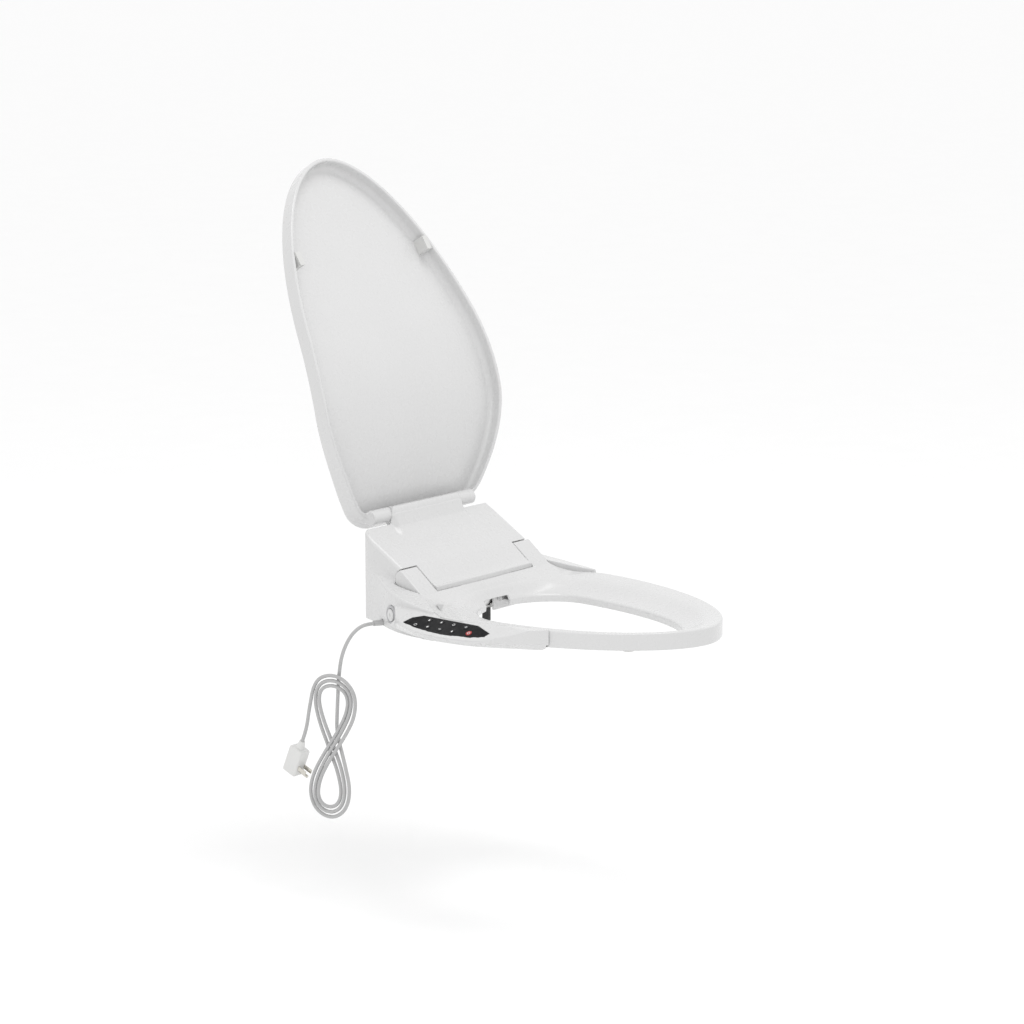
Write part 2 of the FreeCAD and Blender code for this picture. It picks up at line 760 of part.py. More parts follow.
def make_housing():
    """Upper shell with the control arm, and the base tray."""
    seat_space = prism(seat_outline(s.gap), -1, 300).common(
        Part.makeBox(500, 500, 400, Vector(-250, s.housing_front - s.gap - 500, -10))
    )
    outer = housing_form(0).cut(seat_space).cut(seat_arm_space(0)).fuse(hinge_hump())
    outer = outer.fuse(arm_form(0))
    inner_limit = Part.makeBox(500, 200, 300, Vector(-250, s.housing_front + s.wall, -20))
    inner = housing_form(s.wall).common(inner_limit).cut(seat_arm_space(s.wall))
    shell = outer.cut(inner)
    arm_room = arm_form(s.wall + 0.5).common(
        Part.makeBox(200, 400, 60, Vector(-300, -400, s.arm_bottom))
    )
    shell = shell.cut(arm_room.cut(housing_form(0)))
    posts = screw_posts(4.5, 9).common(housing_form(0.5)).cut(screw_posts(1.6, 8).common(
        Part.makeBox(400, 200, 26, Vector(-200, -100, 0))))
    shell = shell.fuse(posts)
    bores = [
        Part.makeCylinder(8.05, 46.2, Vector(24.9, LID_AXIS.y, LID_AXIS.z), X_AXIS),
        Part.makeCylinder(4.05, 60, Vector(60, LID_AXIS.y, LID_AXIS.z), X_AXIS),
        Part.makeCylinder(3.55, 60, Vector(90, SEAT_AXIS.y, SEAT_AXIS.z), X_AXIS),
    ]
    for bore in bores:
        shell = shell.cut(both_sides(bore))
    button_bore = Part.makeCylinder(9.5, 30, RELEASE_AT - RELEASE_OUT * 20, RELEASE_OUT)
    bezel_seat = Part.makeCylinder(14.5, 20, RELEASE_AT - RELEASE_OUT * 1.5, RELEASE_OUT)
    inlet_bore = Part.makeCylinder(10.6, 60, INLET_AT, X_AXIS)
    wand_door = Part.makeBox(40, 20, 30, Vector(-20, s.housing_front - 5, 1))
    cord_bore = Part.makeCylinder(5.05, 30, CORD_EXIT - CORD_OUT * 10, CORD_OUT)
    overlay_seat = prism_on_bevel(PANEL_CORNERS, -2, 5)
    shell = shell.cut([button_bore, bezel_seat, inlet_bore, wand_door, cord_bore, overlay_seat])
    for window in key_windows(5.4):
        shell = shell.cut(window)
    node(shaped("UpperHousing", shell), "upper_housing")

    fit = s.wall + 0.3
    rear_part = Part.makeBox(500, 200, 60, Vector(-250, s.housing_front + fit, -20))
    tray = prism(housing_outline(fit), s.housing_bottom, 12).common(rear_part)
    recess = prism(housing_outline(fit + 3), 0, 6).common(rear_part)
    well = prism(housing_outline(fit + 3), 8.5, 20).common(
        Part.makeBox(500, 200, 60, Vector(-250, s.housing_front + fit + 3, -20))
    )
    tray = tray.cut([recess, well, inlet_bore, button_bore, cord_bore, wand_door, screw_posts(2.2, 0)])
    node(shaped("LowerHousing", tray), "lower_housing")

    cover = prism(arm_outline(FOOT, s.wall + 1.2, 0), s.arm_bottom, s.arm_bottom + 2)
    cover = cover.cut(prism(seat_outline(s.gap + s.wall + 1.2), 0, 100))
    cover = cover.cut(housing_form(-0.3)).common(Part.makeBox(200, 400, 60, Vector(-300, -448, 0)))
    node(shaped("ArmCover", cover), "arm_bottom_cover")

    screws = []
    for index, (x, y) in enumerate([(-60, 48), (60, 48), (-98, -43), (98, -43)]):
        profile = [(0, 4), (3.5, 4), (3.5, 6), (1.6, 6), (1.6, 26), (0, 26)]
        screws.append(turned(f"HousingScrew{index}", profile, (x, y, 0)))
    node(group("HousingScrews", *screws), "housing_screws")

    pads = []
    for index, (x, y) in enumerate([(-110, 30), (110, 30), (-125, -38), (125, -38)]):
        pads.append(rod(f"HousingPad{index}", 9, 6, (x, y, 0)))
    node(group("HousingPads", *pads), "housing_pads")


# ---------------------------------------------------------------- hinge dampers


def make_dampers():
    """The soft-close dampers that the hinge pins turn in."""
    lid = []
    seat = []
    for index, side in enumerate((-1, 1)):
        name = f"{index}"
        start = 25 if side > 0 else -71
        body = rod(f"LidDamper{name}", 8, 46, (start, s.lid_axis_y, s.lid_axis_z), X_AXIS)
        bore_start = 61.9 if side > 0 else -71
        bore = rod(f"LidDamperBore{name}", 4.05, 9.1, (bore_start, s.lid_axis_y, s.lid_axis_z), X_AXIS)
        lid.append(cut(f"LidDamperBored{name}", body, bore))
        start = 56 if side > 0 else -106
        body = rod(f"SeatDamper{name}", 5.8, 50, (start, s.seat_axis_y, s.seat_axis_z), X_AXIS)
        bore_start = 91.9 if side > 0 else -106
        bore = rod(
            f"SeatDamperBore{name}", 3.55, 14.1, (bore_start, s.seat_axis_y, s.seat_axis_z), X_AXIS
        )
        seat.append(cut(f"SeatDamperBored{name}", body, bore))
    node(group("LidDampers", *lid), "lid_dampers")
    node(group("SeatDampers", *seat), "seat_dampers")


# ---------------------------------------------------------------- control panel


PANEL_CORNERS = [
    (24, -80), (11, -88), (3, -104), (3, -206), (14, -235), (23, -231), (29, -210), (34, -160),
    (31, -114),
]
KEYS = {
    "rear_wash": (10, -120),
    "front_wash": (10, -143),
    "dryer": (10, -166),
    "warm_seat": (10, -189),
    "light": (24, -104),
    "pressure_up": (24, -127),
    "pressure_down": (24, -150),
    "water_heat": (24, -173),
    "power": (21, -202),
}


def on_bevel(down, along, lift=0):
    """A point on the arm's sloping top: down the slope, along the arm, above the surface."""
    local = Vector(-down, 0, lift)
    return BEVEL.multVec(local) + Vector(s.arm_edge, along, s.arm_top)


def prism_on_bevel(corners, low, high):
    """The solid that stands square to the sloping top over corners (down, along)."""
    points = [on_bevel(down, along, low) for down, along in corners]
    face = Part.Face(Part.makePolygon(points + points[:1]))
    normal = BEVEL.multVec(Z_AXIS)
    return face.extrude(normal * (high - low))


def key_windows(radius):
    """Round holes square to the sloping top, one for each key."""
    normal = BEVEL.multVec(Z_AXIS)
    return [
        Part.makeCylinder(radius, 20, on_bevel(down, along, -12), normal)
        for down, along in KEYS.values()
    ]


def make_panel():
    """Glossy overlay, keys that travel, the mat under them and their circuit board."""
    overlay = prism_on_bevel(PANEL_CORNERS, -2, -0.3)
    for window in key_windows(s.key_radius + 0.25):
        overlay = overlay.cut(window)
    node(shaped("PanelOverlay", overlay), "panel_overlay")
    normal = BEVEL.multVec(Z_AXIS)
    for name, (down, along) in KEYS.items():
        cap_top = 0.1
        profile = [
            (0, -4.8), (s.key_radius - 1.6, -4.8), (s.key_radius - 1.6, -3.2),
            (s.key_radius, -3.2), (s.key_radius, cap_top), (0, cap_top),
        ]
        spot = on_bevel(down, along)
        node(turned(f"Key_{name}", profile, (spot.x, spot.y, spot.z), normal), f"key_{name}")
    centre_corners = [(4, -98), (32, -98), (32, -210), (4, -210)]
    mat = prism_on_bevel(centre_corners, -6.6, -5.9).common(arm_form(s.wall + 0.6))
    board = prism_on_bevel(centre_corners, -8.3, -6.7).common(arm_form(s.wall + 0.6))
    node(shaped("KeyMat", mat), "key_mat")
    node(shaped("PanelBoard", board), "panel_board")


# ---------------------------------------------------------------- quick release and fixing


def make_release():
    """Button on the side wall that frees the seat from its plate, with its bezel and latch."""
    spot = (RELEASE_AT.x, RELEASE_AT.y, RELEASE_AT.z)
    bezel = [(9.6, -1.5), (14.5, -1.5), (14.5, 1.2), (12.8, 2.2), (11, 2.2), (9.6, 1.2)]
    node(turned("ReleaseBezel", bezel, spot, RELEASE_OUT), "release_bezel")
    button = [(0, -14), (4, -14), (4, -3), (9, -3), (9, 2.6), (7.5, 3.4), (3, 3.4), (2, 2), (0, 2)]
    node(turned("ReleaseButton", button, spot, RELEASE_OUT), "release_button")


def make_fixing():
    """Plate, bolts, washers and rubber anchors that fix the seat to its bowl."""
    half = s.bolt_span / 2
    thick = 3
    neck = s.anchor_radius - 0.5
    holes = [(-half, 0, s.anchor_radius + 0.2), (half, 0, s.anchor_radius + 0.2)]
    corners = [(-90, -22), (-60, -30), (60, -30), (90, -22), (90, 22), (60, 30), (-60, 30), (-90, 22)]
    node(plate("MountingPlate", corners, 0, thick, holes), "mounting_plate")
    bolts = []
    washers = []
    anchors = []
    for index, x in enumerate((-half, half)):
        shank = [
            (0, 0), (s.bolt_radius, 0), (s.bolt_radius, 3.6), (5.5, 3.6), (5.5, 5.6), (0, 5.6),
        ]
        bolts.append(turned(f"Bolt{index}", shank, (x, 0, 0)))
        bore = s.bolt_radius + 0.2
        ring = [(bore, thick), (9, thick), (9, 3.6), (bore, 3.6)]
        washers.append(turned(f"Washer{index}", ring, (x, 0, 0)))
        plug = [
            (0, -s.anchor_depth), (s.anchor_radius, -s.anchor_depth), (s.anchor_radius, 0),
            (neck, 0), (neck, thick), (s.bolt_radius + 0.05, thick), (s.bolt_radius + 0.05, 0),
            (0, 0),
        ]
        anchors.append(turned(f"Anchor{index}", plug, (x, 0, 0)))
    node(group("Bolts", *bolts), "fixing_bolts")
    node(group("Washers", *washers), "fixing_washers")
    node(group("Anchors", *anchors), "rubber_anchors")


# ---------------------------------------------------------------- spray wands


TEETH = 12
PITCH_RADIUS = TEETH * s.tooth_module / 2
RACK_LINE = 8.5
PINION_ALONG = 30


def wand_place(side):
    """Where a wand's own frame sits: its tip at the origin and its length along +Y."""
    tip = Vector(side * s.wand_spacing / 2, WAND_TIP.y, WAND_TIP.z)
    return Placement(tip, Rotation(X_AXIS, s.wand_slope))


def rack_bar():
    """The toothed bar on top of a wand, with a gap under the pinion."""
    pitch = math.pi * s.tooth_module
    half_width = 1.5
    root = RACK_LINE - 1.25
    tip = RACK_LINE + 0.6
    thick_root = pitch / 4 - 0.1 + 1.25 * math.tan(math.radians(20))
    thick_tip = pitch / 4 - 0.1 - 0.6 * math.tan(math.radians(20))
    first = PINION_ALONG - 2.5 * pitch
    outline = [(first - thick_root - 1, 4), (first - thick_root - 1, root)]
    for tooth in range(25):
        middle = first + tooth * pitch
        outline += [(middle - thick_root, root), (middle - thick_tip, tip)]
        outline += [(middle + thick_tip, tip), (middle + thick_root, root)]
    outline += [(middle + thick_root + 1, root), (middle + thick_root + 1, 4)]
    return side_polygon(outline, half_width)


def pinion_outline():
    """The corners of a twelve-tooth pinion, with one tooth pointing down."""
    base_half = math.radians(7.5 - 0.9)
    steps = [(4.7, base_half + 0.02), (5.64, base_half + 0.012), (6.0, base_half), (6.9, 0.032)]
    corners = []
    for tooth in range(TEETH):
        middle = -math.pi / 2 + tooth * 2 * math.pi / TEETH
        for radius, half in steps:
            corners.append((radius, middle - half))
        for radius, half in reversed(steps):
            corners.append((radius, middle + half))
    return [(radius * math.cos(turn), radius * math.sin(turn)) for radius, turn in corners]


def make_wands():
    """The rear and front washing wands, their cradle, pinions and motors."""
    names = {-1: "rear", 1: "front"}
    for side, name in names.items():
        at = wand_place(side)
        tube = Part.makeCylinder(s.wand_radius, s.wand_length - 14, Vector(0, 14, 0), Y_AXIS)
        node(shaped(f"Wand_{name}", tube.fuse(rack_bar()), at), f"{name}_wand")
        cap = Part.makeCylinder(s.wand_radius - 0.2, 14, ORIGIN, Y_AXIS)
        cap = cap.cut(Part.makeBox(20, 12, 10, Vector(-10, -1, -s.wand_radius - 7.5)))
        holes = 3 if side < 0 else 5
        for hole in range(holes):
            spread = (hole - (holes - 1) / 2) * 2
            jet = Part.makeCylinder(0.5, 20, Vector(spread, 6, 0), Z_AXIS)
            cap = cap.cut(jet)
        node(shaped(f"Tip_{name}", cap, at), f"{name}_wand_tip")
        gear = side_polygon([(y, z) for y, z in pinion_outline()], 1.5)
        start = 0 if side > 0 else -14
        shaft = Part.makeCylinder(1.5, 14, Vector(start, 0, 0), X_AXIS)
        centre = Vector(0, PINION_ALONG, RACK_LINE + PITCH_RADIUS)
        hub_at = at.multiply(Placement(centre, Rotation()))
        node(shaped(f"Pinion_{name}", gear.fuse(shaft), hub_at), f"{name}_pinion")
        motor_start = 7 if side > 0 else -25
        motor = Part.makeCylinder(9, 18, Vector(motor_start, 0, 0), X_AXIS)
        bore_start = 6 if side > 0 else -14.2
        motor = motor.cut(Part.makeCylinder(1.55, 8.2, Vector(bore_start, 0, 0), X_AXIS))
        node(shaped(f"Motor_{name}", motor, hub_at), f"{name}_wand_motor")
    cradle = Part.makeBox(48, 11, 17, Vector(-24, 2, -8))
    rail = Part.makeBox(48, 92, 1.8, Vector(-24, 2, -8))
    cradle = cradle.fuse(rail)
    for side in names:
        across = side * s.wand_spacing / 2
        cradle = cradle.cut(
            Part.makeCylinder(s.wand_radius + 0.06, 130, Vector(across, -5, 0), Y_AXIS)
        )
        cradle = cradle.cut(Part.makeBox(4, 130, 30, Vector(across - 2, -5, 0)))
    stand = Part.makeBox(40, 11, 30, Vector(-20, 0, -35))
    stand.Placement = Placement(Vector(0, -43, 40), Rotation())
    at = wand_place(0)
    cradle.Placement = at
    feet = stand.cut(Part.makeBox(500, 500, 500, Vector(-250, -250, 8.5 - 500)))
    below = Part.makeBox(48, 100, 60, Vector(-24, 0, -68))
    below.Placement = at
    feet = feet.common(below).common(Part.makeBox(500, 500, 500, Vector(-250, -250, 8.5)))
    node(shaped("Cradle", cradle.fuse(feet)), "wand_cradle")


# ---------------------------------------------------------------- water and air


FAN_AT = Vector(84, -2, 0)


def make_water():
    """Tank with its heater, inlet valve, inlet connector and the hose between them."""
    outer = block("TankOuter", (-104, -28, 9), (-44, 36, 62))
    hollow = block("TankHollow", (-101.5, -25.5, 11.5), (-46.5, 33.5, 59.5))
    hole = rod("TankHole", 4, 10, (-50, 26, 20), X_AXIS)
    node(cut("Tank", outer, hollow, hole), "water_tank")
    node(rod("TankHeater", 5, 48, (-98, 0, 26), X_AXIS), "tank_heater")
    body = block("ValveBody", (72, 30, 9), (112, 53, 32))
    coil = rod("ValveCoil", 9, 16, (90, 41.5, 32))
    port = rod("ValvePort", 4, 14, (66, 33, 20), X_AXIS)
    node(cut("Valve", fused("ValveSolid", body, coil), port), "inlet_valve")
    stub = [(6, 3), (9, 3), (9, 44), (10.475, 44), (10.475, 56), (6, 56)]
    node(turned("Inlet", stub, (INLET_AT.x - 3, INLET_AT.y, INLET_AT.z), X_AXIS), "water_inlet")
    start = Vector(-50, 26, 20)
    bend = 7
    middle = [Vector(20, 26, 20), Vector(40, 33, 20), Vector(80, 33, 20)]
    route = [start] + middle
    node(shaped("SupplyHose", tube_along(route, 4, bend)), "supply_hose")


def make_fan():
    """Deodoriser: scroll case, wheel, motor and filter."""
    case = Part.makeCylinder(28, 26, Vector(0, 0, 9))
    case = case.fuse(Part.makeBox(28, 34, 26, Vector(0, 0, 9)))
    room = Part.makeCylinder(26, 22, Vector(0, 0, 11))
    duct = Part.makeBox(20, 40, 18, Vector(5, 0, 13))
    case = case.cut([room, duct, Part.makeCylinder(3, 10, Vector(0, 0, 30))])
    case.translate(FAN_AT)
    trimmed = case.common(Part.makeBox(200, 56, 60, Vector(0, -30, 0)))
    node(shaped("FanCase", trimmed), "fan_case")

    wheel = new_body("FanWheel")
    pad(wheel, circle_sketch(wheel, "XY_Plane", [(0, 0, 24)], 13), 1.5)
    blade = outline_sketch(wheel, "XY_Plane", rectangle(16, 23.5, -0.6, 0.6), 13)
    blade_pad = wheel.newObject("PartDesign::Pad", "Blade")
    blade_pad.Profile = blade
    bind(blade_pad, Length=Size(17))
    pattern = wheel.newObject("PartDesign::PolarPattern", "Blades")
    pattern.Originals = [blade_pad]
    pattern.Axis = (blade, ["N_Axis"])
    pattern.Angle = 360
    pattern.Occurrences = 18
    wheel.Tip = pattern
    doc.recompute()
    pad(wheel, circle_sketch(wheel, "XY_Plane", [(0, 0, 1.5)], 13), 36)
    place(wheel, (FAN_AT.x, FAN_AT.y, 0))
    node(wheel, "fan_wheel")

    motor = rod("FanMotorBody", 13, 17, (FAN_AT.x, FAN_AT.y, 35))
    bore = rod("FanMotorBore", 1.55, 16, (FAN_AT.x, FAN_AT.y, 34))
    node(cut("FanMotor", motor, bore), "fan_motor")
    node(block("Filter", (116, -32, 9), (130, -2, 33)), "deodoriser_filter")


def make_boards():
    """Main circuit board with its parts, on four pillars."""
    board = block("BoardPlate", (40, 0, 66), (126, 42, 67.6))
    transformer = block("BoardTransformer", (48, 8, 67.6), (76, 34, 86))
    relay = block("BoardRelay", (84, 12, 67.6), (100, 24, 82))
    caps = [rod(f"BoardCap{i}", 4, 14, (108 + 10 * i, 34, 67.6)) for i in range(2)]
    node(fused("MainBoard", board, transformer, relay, *caps), "main_board")
    pillars = []
    for index, (x, y) in enumerate([(46, 5), (46, 21), (121, 5)]):
        pillars.append(rod(f"BoardPillar{index}", 3, 57.5, (x, y, 8.5)))
    node(group("BoardPillars", *pillars), "board_pillars")


# ---------------------------------------------------------------- power cord


CORD_EXIT = Vector(-159, 4, 7)
CORD_OUT = Vector(-0.93, 0.366, 0)
RELIEF_LENGTH = 22
HANK_PLANE = -222
LEAD_ROUTE = [
    (-175.74, 10.59, 7), (-186.9, 15, 7), (-197.5, 19.3, 3.6), (-207, 24, -4.5), (-213, 29.5, -17),
    (-216, 36, -34), (-215.5, 41.5, -52), (-214.5, 45, -70), (-214, 47, -86),
]
PLUG_ROUTE = [
    (-222, 97, -114), (-222, 99.5, -131), (-222, 102.5, -148), (-222, 107, -164),
    (-222, 113.5, -179.5),
]
HANK_OUTLINE = [
    (46, -64), (14, -80), (-3, -112), (8, -148), (29, -182), (22, -232), (32, -274), (62, -293),
    (94, -276), (103, -245), (88, -212), (72, -182), (88, -150), (99, -112), (80, -78),
]


def tube_along(route, radius, bend=None):
    """A round tube along straight runs joined by tangent arcs, and its length and radii."""
    points = [Vector(*p) for p in route]
    edges = []
    start = points[0]
    for before, corner, after in zip(points, points[1:], points[2:]):
        come = (corner - before).normalize()
        go = (after - corner).normalize()
        turn = come.getAngle(go)
        shorter = min((corner - before).Length, (after - corner).Length)
        arc_radius = bend or 0.45 * shorter / math.tan(turn / 2)
        reach = arc_radius * math.tan(turn / 2)
        first = corner - come * reach
        last = corner + go * reach
        inward = (go - come).normalize()
        centre = corner + inward * (arc_radius / math.cos(turn / 2))
        middle = centre - inward * arc_radius
        edges.append(Part.LineSegment(start, first).toShape())
        edges.append(Part.Arc(first, middle, last).toShape())
        start = last
        print(f"arc radius {arc_radius:.1f}")
    edges.append(Part.LineSegment(start, points[-1]).toShape())
    path = Part.Wire(edges)
    ring = Part.Wire(Part.makeCircle(radius, points[0], points[1] - points[0]))
    tube = path.makePipeShell([ring], True, False)
    expected = math.pi * radius**2 * path.Length
    print(f"tube length {path.Length:.1f}, volume ratio {tube.Volume / expected:.4f}")
    return tube


def make_cord():
    """Strain relief, hanging lead, hank, plug lead and the plug with its blades."""
    relief = [(0, 0), (5, 0), (5, 6), (4.6, 6), (3.9, RELIEF_LENGTH), (0, RELIEF_LENGTH)]
    base = CORD_EXIT - CORD_OUT * 4
    start = (base.x, base.y, base.z)
    node(turned("Relief", relief, start, CORD_OUT), "strain_relief")
    node(shaped("CordLead", tube_along(LEAD_ROUTE, s.cord_radius)), "cord_lead")
    points = [Vector(HANK_PLANE, y, z) for y, z in HANK_OUTLINE]
    curve = Part.BSplineCurve()
    curve.interpolate(points, PeriodicFlag=True)
    half_thick = 11
    hank = Part.Face(Part.Wire(curve.toShape()))
    hank.translate(Vector(-half_thick, 0, 0))
    hank = hank.extrude(Vector(2 * half_thick, 0, 0))
    lead_tube = tube_along(LEAD_ROUTE[-3:], s.cord_radius)
    plug_tube = tube_along(PLUG_ROUTE[:3], s.cord_radius)
    node(shaped("CordHank", hank.cut(lead_tube).cut(plug_tube)), "cord_hank")
    node(shaped("PlugLead", tube_along(PLUG_ROUTE, s.cord_radius)), "plug_lead")

    end = Vector(*PLUG_ROUTE[-1])
    along = (end - Vector(*PLUG_ROUTE[-2])).normalize()
    at = Placement(end, Rotation(Vector(-1, 0, 0), Vector(0, -along.z, along.y), along))
    neck = Part.makeCone(4.2, 7, 12, ORIGIN, Z_AXIS)
    shell = Part.makeBox(22, 26, 44, Vector(-11, -13, 12))
    shell = shell.makeFillet(4, shell.Edges)
    body = neck.fuse(shell)
    blades = []
    for across in (-6.35, 6.35):
        blades.append(Part.makeBox(1.5, 22, 6.3, Vector(across - 0.75, -29, 36)))
    pin = Part.makeCylinder(2.4, 22, Vector(0, -7, 46), Vector(0, -1, 0))
    blades.append(pin)
    for blade in blades:
        body = body.cut(blade)
    node(shaped("PlugBody", body, at), "plug_body")
    node(shaped("PlugBlades", Part.makeCompound(blades), at), "plug_blades")


make_seat()
make_lid()
make_housing()
make_dampers()
make_panel()
make_release()
make_fixing()
make_wands()
make_water()
make_fan()
make_boards()
make_cord()


# ---------------------------------------------------------------- check and write


def check_and_write():
    """Stop at any failed object, then write each sub-part to its own file."""
    doc.recompute()
    for item in doc.Objects:
        if "Invalid" in item.State or "Error" in item.State:
            raise RuntimeError(f"{item.Name} failed: {item.State}")
    os.makedirs("parts", exist_ok=True)
    for item in NODES:
        shape = item.Shape
        if shape.isNull() or not shape.isValid() or not shape.Solids:
            raise RuntimeError(f"{item.Label} has no valid solid")
        shape.exportStep(f"parts/{item.Label}.step")
        print(item.Label, len(shape.Solids), round(shape.Volume / 1000, 1))


check_and_write()
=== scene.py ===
"""Looks of the electric bidet seat. Metres, +Z up, the front is -Y, the control arm is on -X."""
import json
import math

import bpy
import numpy as np
from mathutils import Matrix, Vector


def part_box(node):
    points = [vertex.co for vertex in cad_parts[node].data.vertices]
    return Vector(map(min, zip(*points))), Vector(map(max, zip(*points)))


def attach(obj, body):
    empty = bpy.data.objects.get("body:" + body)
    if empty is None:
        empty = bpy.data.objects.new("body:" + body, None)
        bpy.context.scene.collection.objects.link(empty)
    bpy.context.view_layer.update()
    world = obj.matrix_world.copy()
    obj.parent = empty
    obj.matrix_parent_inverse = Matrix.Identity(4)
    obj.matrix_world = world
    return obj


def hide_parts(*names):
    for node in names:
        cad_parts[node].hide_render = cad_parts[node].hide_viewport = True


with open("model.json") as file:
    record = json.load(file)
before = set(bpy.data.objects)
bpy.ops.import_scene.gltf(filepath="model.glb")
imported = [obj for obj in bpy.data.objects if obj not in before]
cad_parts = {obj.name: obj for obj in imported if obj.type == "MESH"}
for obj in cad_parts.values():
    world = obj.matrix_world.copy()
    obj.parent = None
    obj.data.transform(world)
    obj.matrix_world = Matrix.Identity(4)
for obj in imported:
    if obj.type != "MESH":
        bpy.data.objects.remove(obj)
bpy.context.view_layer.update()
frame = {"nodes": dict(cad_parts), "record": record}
NODES = frame["nodes"]
MM = 0.001


# ---------------------------------------------------------------- camera


def make_camera():
    """The eye in front, to the control arm's side and a little above, with a long lens."""
    data = bpy.data.cameras.new("camera")
    data.sensor_width = 36
    data.lens = 112.3
    camera = bpy.data.objects.new("camera", data)
    camera.location = (-3.5785, -3.0528, 1.0756)
    direction = Vector((0.7576, 0.6234, -0.1934))
    camera.rotation_mode = "QUATERNION"
    camera.rotation_quaternion = direction.to_track_quat("-Z", "Y")
    bpy.context.scene.collection.objects.link(camera)
    bpy.context.scene.camera = camera


# ---------------------------------------------------------------- power cord


CORD_DIAMETER = 5.5 * MM
CORD_EXIT = (-0.17574, 0.01059, 0.007)
LEAD_ROUTE = [
    CORD_EXIT, (-0.1869, 0.015, 0.007), (-0.1975, 0.0193, 0.0036), (-0.207, 0.024, -0.0045),
    (-0.213, 0.0295, -0.017), (-0.216, 0.036, -0.034), (-0.2155, 0.0415, -0.052),
    (-0.2145, 0.045, -0.070), (-0.214, 0.047, -0.086), (-0.2137, 0.049, -0.108),
    (-0.2137, 0.0505, -0.132), (-0.2145, 0.051, -0.156),
]
PLUG_ROUTE = [
    (-0.222, 0.0995, -0.131), (-0.222, 0.1025, -0.148), (-0.222, 0.107, -0.164),
    (-0.222, 0.1135, -0.1795),
]
HANK_X = -0.222
HANK_PITCH = 8 * MM
HANK_FIRST = math.pi / 2 + 0.25
HANK_LAST = 6 * math.pi + 0.5
POINTS_PER_TURN = 18


def hank_middle(turn):
    """(y, z) on the middle strand of the hank, a figure of eight hanging from its top fold."""
    width = 33 + 7 * math.cos(turn)
    across = 55 - 8 * math.cos(turn) + width * math.sin(2 * turn)
    height = -178.5 + 100.5 * math.cos(turn) - 6 * math.sin(turn) ** 2
    return np.array((across * MM, height * MM))


def hank_point(turn):
    """A point of the hank's strand, moved sideways by one pitch for each full turn."""
    step = 0.01
    run = hank_middle(turn + step) - hank_middle(turn - step)
    run /= np.linalg.norm(run)
    done = (turn - math.pi / 2) / (2 * math.pi)
    across, height = hank_middle(turn) + np.array((-run[1], run[0])) * HANK_PITCH * (done - 1.43)
    loosen = 1.5 * MM * math.sin(2.3 * turn)
    return (HANK_X + 3.6 * MM * math.sin(turn), across + loosen * math.sin(turn) ** 2, height)


def make_cord():
    """The mains cord from the strain relief, through its folded hank, to the plug."""
    count = round((HANK_LAST - HANK_FIRST) / (2 * math.pi) * POINTS_PER_TURN)
    turns = [HANK_FIRST + (HANK_LAST - HANK_FIRST) * step / count for step in range(count + 1)]
    points = LEAD_ROUTE + [hank_point(turn) for turn in turns] + PLUG_ROUTE
    curve = bpy.data.curves.new("power_cord", "CURVE")
    curve.dimensions = "3D"
    curve.bevel_depth = CORD_DIAMETER / 2
    curve.bevel_resolution = 5
    curve.resolution_u = 8
    curve.use_fill_caps = True
    spline = curve.splines.new("NURBS")
    spline.points.add(len(points) - 1)
    for point, place in zip(spline.points, points):
        point.co = (*place, 1)
    spline.order_u = 3
    spline.use_endpoint_u = True
    cord = bpy.data.objects.new("power_cord", curve)
    bpy.context.scene.collection.objects.link(cord)
    return cord


# ---------------------------------------------------------------- surfaces from distance fields


def fillet_union(a, b, radius):
    """Both solids together, with a fillet where they meet."""
    reach = np.hypot(np.maximum(radius - a, 0), np.maximum(radius - b, 0))
    return np.maximum(radius, np.minimum(a, b)) - reach


def round_common(a, b, radius):
    """What both solids share, with its edge rounded."""
    return -fillet_union(-a, -b, radius)


def round_cut(a, b, radius):
    """The first solid without the second, with its edge rounded."""
    return -fillet_union(-a, b, radius)


def between(value, low, high):
    """The slab between two parallel planes."""
    return np.maximum(low - value, value - high)


def egg(x, y, half, middle, rear, front, power):
    """Distance to an egg-shaped outline: one power in front of its widest place, round behind."""
    ahead = y < middle
    reach = np.where(ahead, middle - front, rear - middle)
    bulge = np.where(ahead, power, 2.0)
    across = np.maximum(np.abs(x) / half, 1e-6)
    along = np.maximum(np.abs(y - middle) / reach, 1e-6)
    gauge = np.maximum((across**bulge + along**bulge) ** (1 / bulge), 0.2)
    slope_x = (across / gauge) ** (bulge - 1) / half
    slope_y = (along / gauge) ** (bulge - 1) / reach
    return (gauge - 1) / np.hypot(slope_x, slope_y)


def beside(x, edge, slope):
    """Distance to an edge on both sides whose half width changes along the object."""
    return (np.abs(x) - edge) / np.hypot(1, slope)


def rod_x(y, z, centre, radius):
    """A round bar across the object."""
    return np.hypot(y - centre[0], z - centre[1]) - radius


def inside_polygon(u, v, corners):
    """Distance to a flat closed outline with straight sides, negative inside."""
    shape = np.broadcast(u, v).shape
    nearest = np.full(shape, 1e9)
    within = np.zeros(shape, bool)
    for (u0, v0), (u1, v1) in zip(corners, corners[1:] + corners[:1]):
        run_u, run_v = u1 - u0, v1 - v0
        along = np.clip(((u - u0) * run_u + (v - v0) * run_v) / (run_u**2 + run_v**2), 0, 1)
        nearest = np.minimum(nearest, np.hypot(u - u0 - along * run_u, v - v0 - along * run_v))
        if v0 != v1:
            crosses = (v0 > v) != (v1 > v)
            within ^= crosses & (u < u0 + (v - v0) * run_u / run_v)
    return np.where(within, -nearest, nearest)


